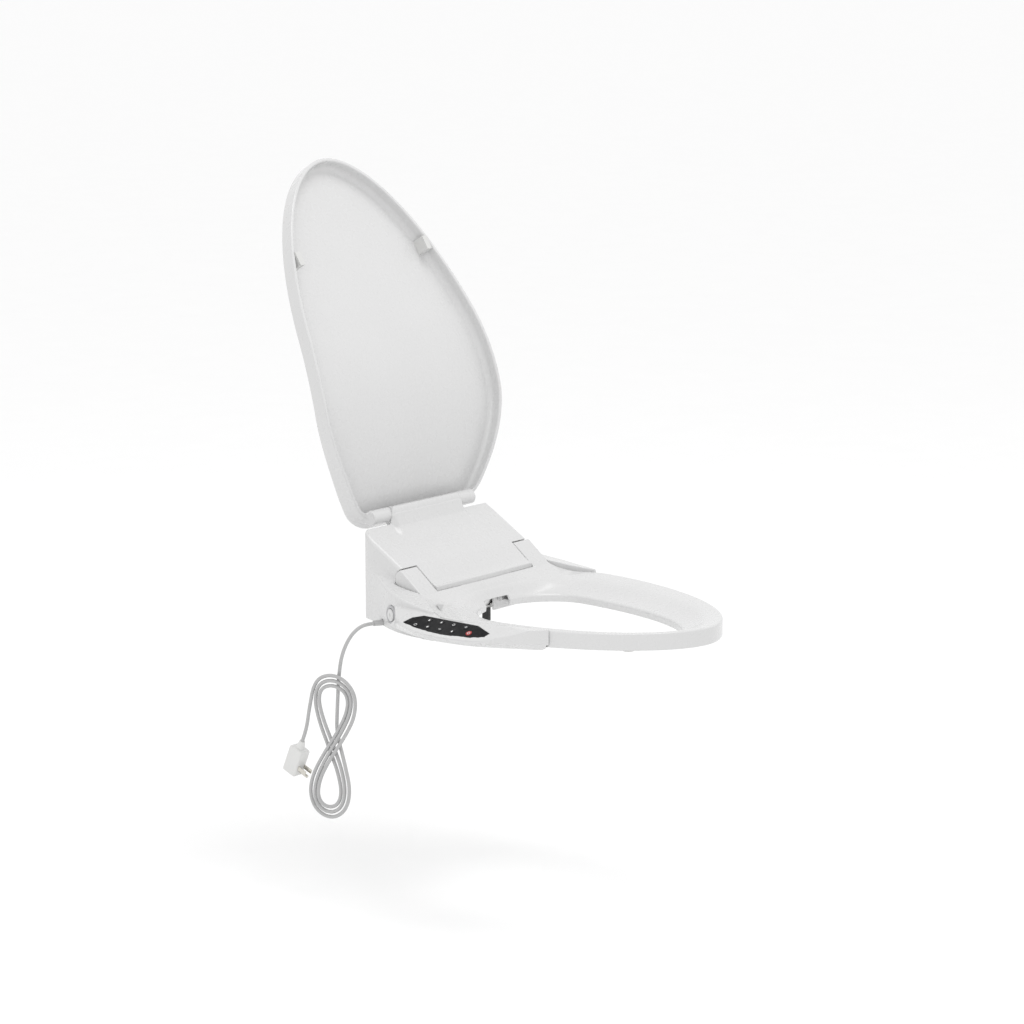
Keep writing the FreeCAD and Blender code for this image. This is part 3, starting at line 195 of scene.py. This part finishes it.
def smooth_line(points, steps=6):
    """Points of a Catmull-Rom curve through given points."""
    knots = [np.array(p, float) for p in points]
    knots = [2 * knots[0] - knots[1], *knots, 2 * knots[-1] - knots[-2]]
    line = []
    for before, start, end, after in zip(knots, knots[1:], knots[2:], knots[3:]):
        for step in range(steps):
            t = step / steps
            line.append(
                0.5
                * (
                    2 * start
                    + (end - before) * t
                    + (2 * before - 5 * start + 4 * end - after) * t**2
                    + (3 * start - before - 3 * end + after) * t**3
                )
            )
    line.append(knots[-2])
    return [tuple(p) for p in line]


def slopes(field, points, step):
    """The field's gradient at points."""
    parts = []
    for axis in range(3):
        shift = np.zeros(3)
        shift[axis] = step
        parts.append((field(*(points + shift).T) - field(*(points - shift).T)) / (2 * step))
    return np.stack(parts, 1)


def net_points(values, cells):
    """Inside each mixed cell, the mean of the places where its edges cross the surface."""
    total = np.zeros((len(cells), 3))
    count = np.zeros(len(cells))
    for axis in range(3):
        for first in (0, 1):
            for second in (0, 1):
                corner = np.zeros(3, int)
                corner[(axis + 1) % 3] = first
                corner[(axis + 2) % 3] = second
                ahead = corner.copy()
                ahead[axis] = 1
                a = values[tuple((cells + corner).T)]
                b = values[tuple((cells + ahead).T)]
                cross = (a < 0) != (b < 0)
                share = np.where(cross, a / np.where(a == b, 1, a - b), 0)
                place = corner + share[:, None] * (ahead - corner)
                total += place * cross[:, None]
                count += cross
    return total / count[:, None]


def net_faces(inside, index):
    """One quad round each grid edge that crosses the surface, facing outwards."""
    faces = []
    for axis in range(3):
        others = [(axis + 1) % 3, (axis + 2) % 3]
        low = [slice(1, -1)] * 3
        high = [slice(1, -1)] * 3
        low[axis] = slice(0, -1)
        high[axis] = slice(1, None)
        start = inside[tuple(low)]
        where = np.argwhere(start != inside[tuple(high)])
        outward = start[tuple(where.T)]
        base = where + np.array([0 if k == axis else 1 for k in range(3)])
        u, v = (np.eye(3, dtype=int)[k] for k in others)
        ring = [index[tuple((base - step).T)] for step in (u + v, v, 0 * u, u)]
        quads = np.stack(ring, 1)
        quads[~outward] = quads[~outward][:, ::-1]
        faces.append(quads)
    return np.concatenate(faces)


def field_mesh(name, field, low, high, cell):
    """A mesh object of a field's zero surface, its points drawn onto the exact surface."""
    axes = [np.arange(a, b + cell, cell) for a, b in zip(low, high)]
    grid = np.ix_(*axes)
    values = np.broadcast_to(field(*grid), [len(a) for a in axes]).astype(np.float32)
    inside = values < 0
    filled = np.zeros([len(a) - 1 for a in axes], np.int8)
    for corner in np.ndindex(2, 2, 2):
        filled += inside[tuple(slice(c, c + n) for c, n in zip(corner, filled.shape))]
    mixed = (filled > 0) & (filled < 8)
    cells = np.argwhere(mixed)
    index = np.full(mixed.shape, -1)
    index[mixed] = np.arange(len(cells))
    points = np.array([a[0] for a in axes]) + cell * (cells + net_points(values, cells))
    for _ in range(3):
        slope = slopes(field, points, cell * 0.05)
        size = np.maximum((slope**2).sum(1), 0.2)
        step = (field(*points.T) / size)[:, None] * slope
        length = np.maximum(np.linalg.norm(step, axis=1), 1e-9)
        points -= step * np.minimum(1, 0.5 * cell / length)[:, None]
    return new_mesh(name, points, net_faces(inside, index), slopes(field, points, cell * 0.2))


def new_mesh(name, points, faces, normals=None):
    """A smooth-shaded mesh object."""
    mesh = bpy.data.meshes.new(name)
    mesh.from_pydata(np.asarray(points).tolist(), [], np.asarray(faces).tolist())
    mesh.shade_smooth()
    if normals is not None:
        lengths = np.maximum(np.linalg.norm(normals, axis=1, keepdims=True), 1e-9)
        mesh.normals_split_custom_set_from_vertices((normals / lengths).tolist())
    piece = bpy.data.objects.new(name, mesh)
    bpy.context.scene.collection.objects.link(piece)
    return piece


# ---------------------------------------------------------------- seat


GAP = 1 * MM
WALL = 4 * MM
SEAT_AXIS = (-23.1 * MM, 72.1 * MM)
LID_AXIS = (70 * MM, 147 * MM)
ARM_INNER, ARM_OUTER = 112 * MM, 149 * MM
RAMP_FRONT = (-55 * MM, 58 * MM)
RAMP_KNEE = (-18 * MM, 87 * MM)
RAMP_REAR = (60 * MM, 134 * MM)
RIM = 43 * MM
SEAT_BOTTOM = 16.5 * MM


def plane_over(y, z, start, end):
    """Distance above the plane that runs across the object through two side-view points."""
    run_y, run_z = end[0] - start[0], end[1] - start[1]
    return ((z - start[1]) * run_y - (y - start[0]) * run_z) / math.hypot(run_y, run_z)


def seat_edge(x, y):
    """Distance to the seat's outline: an egg in front, shoulders that narrow to the arms."""
    start, widest, half = -45 * MM, -145 * MM, 191.5 * MM
    front = egg(x, y, half, widest, 0, -472 * MM, 1.83)
    part = np.clip((start - y) / (start - widest), 0, 1)
    edge = ARM_OUTER + (half - ARM_OUTER) * (0.5 - 0.5 * np.cos(math.pi * part))
    slope = (half - ARM_OUTER) * 0.5 * math.pi / (start - widest) * np.sin(math.pi * part)
    return np.where(y < widest, front, beside(x, edge, slope))


def seat_opening(x, y):
    """Distance to the outline of the hole in the seat."""
    return egg(x, y, 103.6 * MM, -161 * MM, -79 * MM, -412 * MM, 1.95)


def above_dish(x, y, z):
    """Distance above the funnel that falls from the rim to the hole."""
    low = seat_opening(x, y)
    high = egg(x, y, 181 * MM, -155 * MM, -66.5 * MM, -461 * MM, 1.86)
    run = np.maximum(low - high, 8 * MM)
    part = np.clip(low / run, -0.5, 2.2)
    height = 23 * MM + 20 * MM * (part - 0.06 * np.sin(2 * math.pi * np.clip(part, 0, 1)))
    return (z - height) / np.hypot(1, 24 * MM / run)


def seat_solid(x, y, z):
    """The seat's outer form: the dished ring and the two arms of its hinge."""
    slope = plane_over(y, z, RAMP_FRONT, RAMP_KNEE)
    top = fillet_union(z - RIM, slope, 18 * MM)
    ring = round_common(round_common(top, above_dish(x, y, z), 8 * MM), seat_edge(x, y), 4 * MM)
    ring = np.maximum(ring, y + 57 * MM)
    knuckle = rod_x(y, z, SEAT_AXIS, 15 * MM)
    strip = np.maximum(between(y, -66 * MM, SEAT_AXIS[0]), 46 * MM - z)
    arms = round_common(np.minimum(knuckle, strip), slope, 2 * MM)
    arms = round_common(arms, between(np.abs(x), ARM_INNER, ARM_OUTER), 1.5 * MM)
    return np.minimum(ring, arms)


def seat_field(x, y, z):
    """The seat's top shell: a thin wall, open below, with a lip round the hole."""
    hole = seat_opening(x, y)
    solid = round_cut(seat_solid(x, y, z), hole, 3 * MM)
    hollow = np.maximum(solid + WALL, np.minimum(y + 64 * MM, 30 * MM - z))
    shell = round_common(solid, SEAT_BOTTOM - z, 1 * MM)
    shell = np.maximum(shell, -hollow)
    lip = round_common(between(hole, 0, 4 * MM), between(z, 12 * MM, 22 * MM), 1.2 * MM)
    shell = fillet_union(shell, lip, 1 * MM)
    arch = np.maximum(np.abs(x) - 28 * MM, z - 27 * MM)
    arch = np.maximum(arch, between(y, -85 * MM, -45 * MM))
    return round_cut(shell, arch, 1 * MM)


# ---------------------------------------------------------------- lid


LID_TURN = math.radians(121)


def lid_lift(y, z):
    """Distance of a side-view point above the closed lid's lip line: straight, bend, straight."""
    slope, turn, bend, straight = math.radians(35.5), math.radians(34.6), 415 * MM, 46 * MM
    flat = slope - turn
    start = (72 * MM, 151.6 * MM)
    first = (z - start[1]) * math.cos(slope) - (y - start[0]) * math.sin(slope)
    centre_y = start[0] - straight * math.cos(slope) - bend * math.sin(slope)
    centre_z = start[1] - straight * math.sin(slope) + bend * math.cos(slope)
    angle = np.arctan2(y - centre_y, centre_z - z)
    arc = bend - np.hypot(y - centre_y, z - centre_z)
    end_y = centre_y + bend * math.sin(flat)
    end_z = centre_z - bend * math.cos(flat)
    last = (z - end_z) * math.cos(flat) - (y - end_y) * math.sin(flat)
    return np.where(angle > slope, first, np.where(angle < flat, last, arc))


def lid_edge(x, y):
    """Distance to the closed lid's outline from above."""
    rear, widest, base, half = 76 * MM, -80 * MM, 124 * MM, 200 * MM
    front = egg(x, y, half, widest, 0, -472 * MM, 1.92)
    left = np.clip(1 - (rear - y) / (rear - widest), 0, 1)
    edge = base + (half - base) * (1 - left**1.84)
    slope = (half - base) * 1.84 * left**0.84 / (rear - widest)
    return np.where(y < widest, front, beside(x, edge, slope))


def lid_field(x, y, z):
    """The closed lid: a shallow tray, with the two ears of its hinge."""
    lift = lid_lift(y, z)
    edge = round_common(lid_edge(x, y), y - 76 * MM, 26 * MM)
    skin, lip, depth = 6 * MM, 6 * MM, 26 * MM
    outer = round_common(lift - depth, edge, 7 * MM)
    outer = round_common(outer, -lift, 1.6 * MM)
    hollow = round_common(lift - depth + skin, edge + lip, 9 * MM)
    hollow = round_common(hollow, y - 63 * MM, 8 * MM)
    tray = round_cut(outer, hollow, 2 * MM)
    ear = round_common(
        rod_x(y, z, LID_AXIS, 11 * MM), between(np.abs(x), 74.5 * MM, 116 * MM), 1.5 * MM
    )
    tray = fillet_union(tray, ear, 7 * MM)
    hump = np.maximum(rod_x(y, z, LID_AXIS, 13 * MM), np.abs(x) - 74.5 * MM)
    return round_cut(tray, hump, 1 * MM)


def open_lid(piece):
    """Turns a piece of the closed lid up to where it rests when open."""
    pivot = Matrix.Translation((0, *LID_AXIS))
    piece.data.transform(pivot @ Matrix.Rotation(-LID_TURN, 4, "X") @ pivot.inverted())


# ---------------------------------------------------------------- housing


CREASE = [
    (-178, -33), (-203, -58), (-219, -88), (-228, -124), (-230, -165),
    (-226, -205), (-216, -240), (-202, -268), (-184, -291), (-162, -309),
]
FOOT = [
    (-168, -6), (-191, -36), (-207, -79), (-217, -116), (-219.5, -156),
    (-212, -203), (-197, -240), (-183, -266), (-171, -290), (-159, -309),
]
HOUSING_SIDE = [(140, 60), (149, 36), (162, 6), (176, -25), (186.5, -62), (190.5, -118)]
PANEL_CORNERS = [
    (24, -80), (11, -88), (3, -104), (3, -206), (14, -235), (23, -231), (29, -210), (34, -160),
    (31, -114),
]
ARM_BOTTOM = 12 * MM
TILT = math.radians(27.3)
BEVEL_EDGE = (-192 * MM, 40.5 * MM)


def arm_outline(points):
    """A closed outline round the control arm, from given outer points in millimetres."""
    line = [(x * MM, y * MM) for x, y in smooth_line(points)]
    return line + [(-0.12, line[-1][1]), (-0.12, line[0][1])]


CREASE_LINE = arm_outline(CREASE)
FOOT_LINE = arm_outline(FOOT)
SIDE_LINE = [(x * MM, y * MM) for x, y in smooth_line(HOUSING_SIDE)]


def down_bevel(x, z):
    """Distance down the control arm's sloping top from its upper edge, and height over it."""
    across, up = x - BEVEL_EDGE[0], z - BEVEL_EDGE[1]
    down = -(across * math.cos(TILT) + up * math.sin(TILT))
    over = up * math.cos(TILT) - across * math.sin(TILT)
    return down, over


def arm_field(x, y, z):
    """The control arm beside the seat: undercut below, sloping on top."""
    crease = inside_polygon(x, y, CREASE_LINE)
    foot = inside_polygon(x, y, FOOT_LINE)
    share = np.clip((z - ARM_BOTTOM) / (11 * MM), 0, 1)
    wall = foot + (crease - foot) * share
    top = round_common(down_bevel(x, z)[1], z - RIM, 2 * MM)
    arm = round_common(wall, top, 1.6 * MM)
    arm = round_common(arm, ARM_BOTTOM - z, 1.5 * MM)
    return round_cut(arm, seat_edge(x, y) - GAP, 1.2 * MM)


def housing_half_width(y):
    """Half the housing's width, from its rear wall to the tips of its wings."""
    across = np.array([p[0] for p in SIDE_LINE])[::-1]
    along = np.array([p[1] for p in SIDE_LINE])[::-1]
    return np.interp(y, along, across)


def housing_edge(x, y):
    """Distance to the housing's outline from above."""
    slope = (housing_half_width(y + MM) - housing_half_width(y - MM)) / (2 * MM)
    return beside(x, housing_half_width(y), slope)


def above_wing(x, y, z):
    """Distance above the hollowed flank between the ramp's side and the outer edge."""
    edge = housing_half_width(y)
    behind = np.maximum(61 * MM - y, 0) / MM
    outer = 142.5 - 18.6 * np.log(behind + 4) + 24 * np.exp(-behind / 5)
    drop = np.maximum(53 * MM - y, -8 * MM) / MM
    inner = 60 + 69.5 * np.exp(-drop / 50 - (drop / 70) ** 2)
    inner = np.maximum(inner, outer + 1)
    part = np.clip((edge - np.abs(x)) / np.maximum(edge - 140 * MM, 4 * MM), 0, 1)
    height = (outer + (inner - outer) * part**1.7) * MM
    fall = 18.6 / (behind + 4) + 4.8 * np.exp(-behind / 5)
    return (z - height) / np.hypot(1.6, fall)


def ramp_field(x, y, z):
    """The ramp behind the seat, gentle above its knee and steeper below."""
    gentle = plane_over(y, z, RAMP_KNEE, RAMP_REAR)
    steep = plane_over(y, z, RAMP_FRONT, RAMP_KNEE)
    top = round_common(np.maximum(gentle, steep), y - 60 * MM, 4 * MM)
    side = np.abs(x) - 146 * MM
    ramp = round_common(top, side, 6 * MM)
    return np.maximum(ramp, -55.5 * MM - y)


def hump_field(x, y, z):
    """The barrel between the lid's ears and the neck that joins it to the ramp."""
    barrel = rod_x(y, z, LID_AXIS, 11.8 * MM)
    neck = np.maximum(plane_over(y, z, (44 * MM, 122 * MM), (60 * MM, 157 * MM)), y - 80 * MM)
    under = plane_over(y, z, (59 * MM, 108 * MM), (82 * MM, 140 * MM))
    neck = np.maximum(neck, -under)
    neck = np.maximum(neck, z - 148 * MM)
    hump = fillet_union(barrel, neck, 3 * MM)
    return round_common(hump, np.abs(x) - 73.5 * MM, 1.5 * MM)


def housing_solid(x, y, z):
    """The housing's outer form with no underside."""
    ramp = ramp_field(x, y, z)
    form = fillet_union(ramp, above_wing(x, y, z), 4 * MM)
    form = round_common(form, housing_edge(x, y), 2.5 * MM)
    form = round_common(form, y - 60 * MM, 4 * MM)
    form = np.maximum(form, -118 * MM - y)
    seat = np.maximum(seat_edge(x, y) - GAP, y + 56.5 * MM)
    form = round_cut(form, seat, 1.2 * MM)
    reach = between(np.abs(x), ARM_INNER - 1.5 * MM, ARM_OUTER + 1.5 * MM)
    knuckle = rod_x(y, z, SEAT_AXIS, 16 * MM)
    front = np.maximum(between(y, SEAT_AXIS[0] - 38 * MM, SEAT_AXIS[0]), 44.5 * MM - z)
    form = round_cut(form, np.maximum(np.minimum(knuckle, front), reach), 1 * MM)
    form = fillet_union(form, hump_field(x, y, z), 14 * MM)
    return fillet_union(form, arm_field(x, y, z), 2 * MM)


PANEL_DEPTH = 2 * MM
HOUSING_BOTTOM = 2 * MM
RELEASE_AT = np.array((-175.5, -25, 25)) * MM
RELEASE_OUT = np.array((-0.939, 0.345, 0))
RELEASE_BORES = [(9.5, -20, 10), (14.5, -1.5, 18)]  # radius, from, to: the button, its ring
INLET_AT, INLET_OUT = (0.112, 0.04, 0.018), (1, 0, 0)
RELIEF_AT, RELIEF_OUT = (-0.159, 0.004, 0.007), (-0.93, 0.366, 0)


def bored(x, y, z, start, out, radius, low, high):
    """A round hole of a radius along a direction, between two distances from a point."""
    dx, dy, dz = x - start[0], y - start[1], z - start[2]
    along = dx * out[0] + dy * out[1] + dz * out[2]
    away = np.sqrt(np.maximum(dx**2 + dy**2 + dz**2 - along**2, 0))
    return np.maximum(away - radius, between(along, low, high))


def housing_field(x, y, z):
    """The upper housing: a thin wall, open below, with its holes and the panel's recess."""
    solid = housing_solid(x, y, z)
    down, over = down_bevel(x, z)
    recess = inside_polygon(down, y, [(d * MM, a * MM) for d, a in PANEL_CORNERS])
    recess = np.maximum(recess, -PANEL_DEPTH - over)
    solid = round_cut(solid, recess, 0.5 * MM)
    shell = np.maximum(np.maximum(solid, HOUSING_BOTTOM - z), -np.maximum(solid + WALL, 1 * MM - z))
    hinge = round_common(hump_field(x, y, z), 110 * MM - z, 1 * MM)
    shell = np.minimum(shell, hinge)
    door = np.maximum(np.abs(x) - 20 * MM, np.maximum(z - 31 * MM, y + 45 * MM))
    door = np.maximum(door, -62 * MM - y)
    shell = round_cut(shell, door, 1 * MM)
    for radius, low, high in RELEASE_BORES:
        hole = bored(x, y, z, RELEASE_AT, RELEASE_OUT, radius * MM, low * MM, high * MM)
        shell = np.maximum(shell, -hole)
    inlet = bored(x, y, z, INLET_AT, INLET_OUT, 10.6 * MM, 0, 60 * MM)
    relief = bored(x, y, z, RELIEF_AT, RELIEF_OUT, 5.05 * MM, -10 * MM, 20 * MM)
    shell = np.maximum(np.maximum(shell, -inlet), -relief)
    return shell


def make_shells():
    """Seat, lid and housing as smooth thin-walled shells."""
    low, high = (np.array(corner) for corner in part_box("seat_top_shell"))
    margin = 5 * MM
    seat = field_mesh("seat_ring", seat_field, low - margin, high + margin, 1.6 * MM)
    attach(seat, "seat")
    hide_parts("seat_top_shell")
    lid_low = np.array((-0.205, -0.477, 0.04))
    lid_high = np.array((0.205, 0.09, 0.182))
    lid = field_mesh("lid", lid_field, lid_low, lid_high, 2.2 * MM)
    open_lid(lid)
    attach(lid, "lid")
    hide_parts("lid_shell")
    low, high = (np.array(corner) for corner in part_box("upper_housing"))
    housing = field_mesh("housing", housing_field, low - margin, high + margin, 1.6 * MM)
    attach(housing, "housing")
    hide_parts("upper_housing")
    return seat, lid, housing


# ---------------------------------------------------------------- marks on the keys


KEY_NORMAL = Vector((-math.sin(TILT), 0, math.cos(TILT)))
KEY_DOWN = Vector((-math.cos(TILT), 0, -math.sin(TILT)))
DROP = [(0, 2.4), (1.2, 0.2), (1.3, -0.9), (0.7, -1.8), (-0.7, -1.8), (-1.3, -0.9), (-1.2, 0.2)]
PLUS = [
    (0.5, 2), (0.5, 0.5), (2, 0.5), (2, -0.5), (0.5, -0.5), (0.5, -2), (-0.5, -2), (-0.5, -0.5),
    (-2, -0.5), (-2, 0.5), (-0.5, 0.5), (-0.5, 2),
]
MINUS = [(2, 0.5), (2, -0.5), (-2, -0.5), (-2, 0.5)]


def ring_mark(radius, sides=24):
    """A flat ring, as quads between two circles."""
    turns = [2 * math.pi * step / sides for step in range(sides)]
    points = [(r * math.cos(a), r * math.sin(a)) for r in (radius, radius - 0.6) for a in turns]
    faces = [(i, (i + 1) % sides, sides + (i + 1) % sides, sides + i) for i in range(sides)]
    return points, faces


def solid_mark(outline):
    """A flat shape with one face."""
    return outline, [tuple(range(len(outline)))]


KEY_MARKS = {
    "key_rear_wash": solid_mark(DROP),
    "key_front_wash": solid_mark(DROP),
    "key_dryer": ring_mark(2.2),
    "key_warm_seat": ring_mark(1.8),
    "key_light": ring_mark(2.4),
    "key_pressure_up": solid_mark(PLUS),
    "key_pressure_down": solid_mark(MINUS),
    "key_water_heat": solid_mark(DROP),
    "key_power": ring_mark(2.3),
}


def key_top(node):
    """The middle of a key's top face."""
    corners = [Vector(v.co) for v in NODES[node].data.vertices]
    world = [NODES[node].matrix_world @ corner for corner in corners]
    low, high = (Vector(corner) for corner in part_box(node))
    middle = (low + high) / 2
    height = max((corner - middle).dot(KEY_NORMAL) for corner in world)
    return middle + KEY_NORMAL * (height + 0.03 * MM)


def make_key_marks():
    """A pale generic mark on each key, which travels with it."""
    marks = []
    for node, (points, faces) in KEY_MARKS.items():
        start = key_top(node)
        along = Vector((0, 1, 0))
        places = [start + MM * (KEY_DOWN * -v + along * u) for u, v in points]
        mark = new_mesh(node + "_mark", [tuple(place) for place in places], faces)
        mark.data.shade_flat()
        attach(mark, node)
        marks.append(mark)
    return marks


# ---------------------------------------------------------------- materials


def new_material(name):
    """An empty node material with its shader and output."""
    material = bpy.data.materials.new(name)
    material.use_nodes = True
    tree = material.node_tree
    tree.nodes.clear()
    output = tree.nodes.new("ShaderNodeOutputMaterial")
    shader = tree.nodes.new("ShaderNodeBsdfPrincipled")
    tree.links.new(shader.outputs["BSDF"], output.inputs["Surface"])
    return material, tree, shader


def noise(tree, scale, detail=3):
    """A noise texture in the object's own metres."""
    place = tree.nodes.new("ShaderNodeTexCoord")
    texture = tree.nodes.new("ShaderNodeTexNoise")
    texture.inputs["Scale"].default_value = scale
    texture.inputs["Detail"].default_value = detail
    tree.links.new(place.outputs["Object"], texture.inputs["Vector"])
    return texture.outputs["Fac"]


def spread(tree, source, low, high):
    """A texture's value stretched to a range."""
    scaled = tree.nodes.new("ShaderNodeMapRange")
    scaled.inputs["From Min"].default_value = 0.3
    scaled.inputs["From Max"].default_value = 0.7
    scaled.inputs["To Min"].default_value = low
    scaled.inputs["To Max"].default_value = high
    tree.links.new(source, scaled.inputs["Value"])
    return scaled.outputs["Result"]


def tinted(tree, source, dark, light):
    """A colour that drifts between two close shades."""
    mix = tree.nodes.new("ShaderNodeMix")
    mix.data_type = "RGBA"
    mix.inputs["A"].default_value = (*dark, 1)
    mix.inputs["B"].default_value = (*light, 1)
    tree.links.new(source, mix.inputs["Factor"])
    return mix.outputs["Result"]


def bumped(tree, source, strength, distance):
    """A normal roughened by a texture."""
    bump = tree.nodes.new("ShaderNodeBump")
    bump.inputs["Strength"].default_value = strength
    bump.inputs["Distance"].default_value = distance
    tree.links.new(source, bump.inputs["Height"])
    return bump.outputs["Normal"]


def plastic(name, colour, roughness, grain, coat=0.0, drift=0.02, metallic=0.0, shine=0.5):
    """Moulded plastic, rubber or metal: shade drift, uneven gloss and a fine surface grain."""
    material, tree, shader = new_material(name)
    dark = [max(c - drift, 0) for c in colour]
    light = [min(c + drift, 1) for c in colour]
    shade = spread(tree, noise(tree, 9), 0, 1)
    tree.links.new(tinted(tree, shade, dark, light), shader.inputs["Base Color"])
    gloss = spread(tree, noise(tree, 60), roughness * 0.85, roughness * 1.15)
    tree.links.new(gloss, shader.inputs["Roughness"])
    fine = noise(tree, grain, 2)
    tree.links.new(bumped(tree, fine, 0.03, 0.00005), shader.inputs["Normal"])
    shader.inputs["Metallic"].default_value = metallic
    shader.inputs["Coat Weight"].default_value = coat
    shader.inputs["Coat Roughness"].default_value = 0.06
    shader.inputs["Specular IOR Level"].default_value = shine
    return material


def make_materials():
    """One material for each of the record's slots."""
    return {
        "white_shell": plastic("white_shell", (0.64, 0.64, 0.64), 0.28, 500, 0.25, 0.006),
        "grey_tray": plastic("grey_tray", (0.55, 0.55, 0.54), 0.5, 1500),
        "soft_rubber": plastic("soft_rubber", (0.62, 0.62, 0.61), 0.6, 1200),
        "anchor_rubber": plastic("anchor_rubber", (0.03, 0.03, 0.03), 0.65, 1200, drift=0.008),
        "foil": plastic("foil", (0.6, 0.6, 0.6), 0.35, 400, metallic=1.0),
        "pin_plastic": plastic("pin_plastic", (0.7, 0.69, 0.64), 0.4, 900),
        "damper_plastic": plastic("damper_plastic", (0.05, 0.05, 0.055), 0.5, 900, drift=0.01),
        "black_gloss": plastic("black_gloss", (0.006, 0.006, 0.007), 0.12, 500, drift=0.002, shine=0.15),
        "key_cap": plastic("key_cap", (0.012, 0.012, 0.013), 0.2, 500, drift=0.003, shine=0.2),
        "power_key": plastic("power_key", (0.35, 0.012, 0.01), 0.25, 500, 0.5, 0.01),
        "circuit_board": plastic("circuit_board", (0.01, 0.12, 0.04), 0.4, 700, drift=0.01),
        "steel": plastic("steel", (0.55, 0.55, 0.55), 0.32, 700, metallic=1.0),
        "bezel": plastic("bezel", (0.42, 0.42, 0.43), 0.3, 900, 0.3),
        "wand_white": plastic("wand_white", (0.75, 0.75, 0.75), 0.25, 900, 0.3),
        "motor_metal": plastic("motor_metal", (0.4, 0.4, 0.4), 0.38, 700, metallic=1.0),
        "tank_plastic": plastic("tank_plastic", (0.65, 0.65, 0.62), 0.45, 900),
        "hose": plastic("hose", (0.4, 0.4, 0.4), 0.55, 900),
        "cord_sheath": plastic("cord_sheath", (0.44, 0.44, 0.44), 0.5, 1500, drift=0.015),
        "plug_white": plastic("plug_white", (0.68, 0.68, 0.67), 0.4, 1200),
        "plug_metal": plastic("plug_metal", (0.62, 0.6, 0.55), 0.22, 500, metallic=1.0),
    }


def paint(piece, material):
    """Gives a piece one material."""
    piece.data.materials.clear()
    piece.data.materials.append(material)


def paint_nodes(materials):
    """The material of each CAD node that stays, by the record's slots."""
    for part in frame["record"]["subparts"]:
        paint(NODES[part["node"]], materials[part["material_slot"]])


# ---------------------------------------------------------------- stage


def make_floor():
    """A pale floor, as far below the seat as its bowl is tall."""
    size, height = 80.0, -0.40
    corners = [(-1, -1), (1, -1), (1, 1), (-1, 1)]
    points = [(size * x, size * y, height) for x, y in corners]
    floor = new_mesh("floor", points, [(0, 1, 2, 3)])
    paint(floor, plastic("floor_paint", (0.97, 0.97, 0.97), 0.9, 30, 0, 0.004, shine=0.1))


def soft_light(name, place, target, size, power):
    """A large square lamp that looks at a point."""
    data = bpy.data.lights.new(name, "AREA")
    data.size = size
    data.energy = power
    lamp = bpy.data.objects.new(name, data)
    lamp.location = place
    direction = Vector(target) - Vector(place)
    lamp.rotation_mode = "QUATERNION"
    lamp.rotation_quaternion = direction.to_track_quat("-Z", "Y")
    bpy.context.scene.collection.objects.link(lamp)


def make_light():
    """A bright even room with a soft key from the left and a top light."""
    world = bpy.data.worlds.new("room")
    world.use_nodes = True
    world.node_tree.nodes["Background"].inputs["Color"].default_value = (1, 1, 1, 1)
    world.node_tree.nodes["Background"].inputs["Strength"].default_value = 1.0
    bpy.context.scene.world = world
    bpy.context.scene.view_settings.view_transform = "Standard"
    middle = (0, -0.15, 0.2)
    soft_light("key", (-2.2, -1.2, 1.6), middle, 1.0, 5)
    soft_light("top", (0.3, -0.4, 2.8), middle, 1.2, 16)


make_camera()
cord = make_cord()
materials = make_materials()
paint(cord, materials["cord_sheath"])
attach(cord, "housing")
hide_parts("cord_lead", "cord_hank", "plug_lead")
paint_nodes(materials)
for shell in make_shells():
    paint(shell, materials["white_shell"])
pale_ink = plastic("pale_ink", (0.75, 0.75, 0.75), 0.5, 1500)
for mark in make_key_marks():
    paint(mark, pale_ink)
make_floor()
make_light()

bpy.context.view_layer.update()
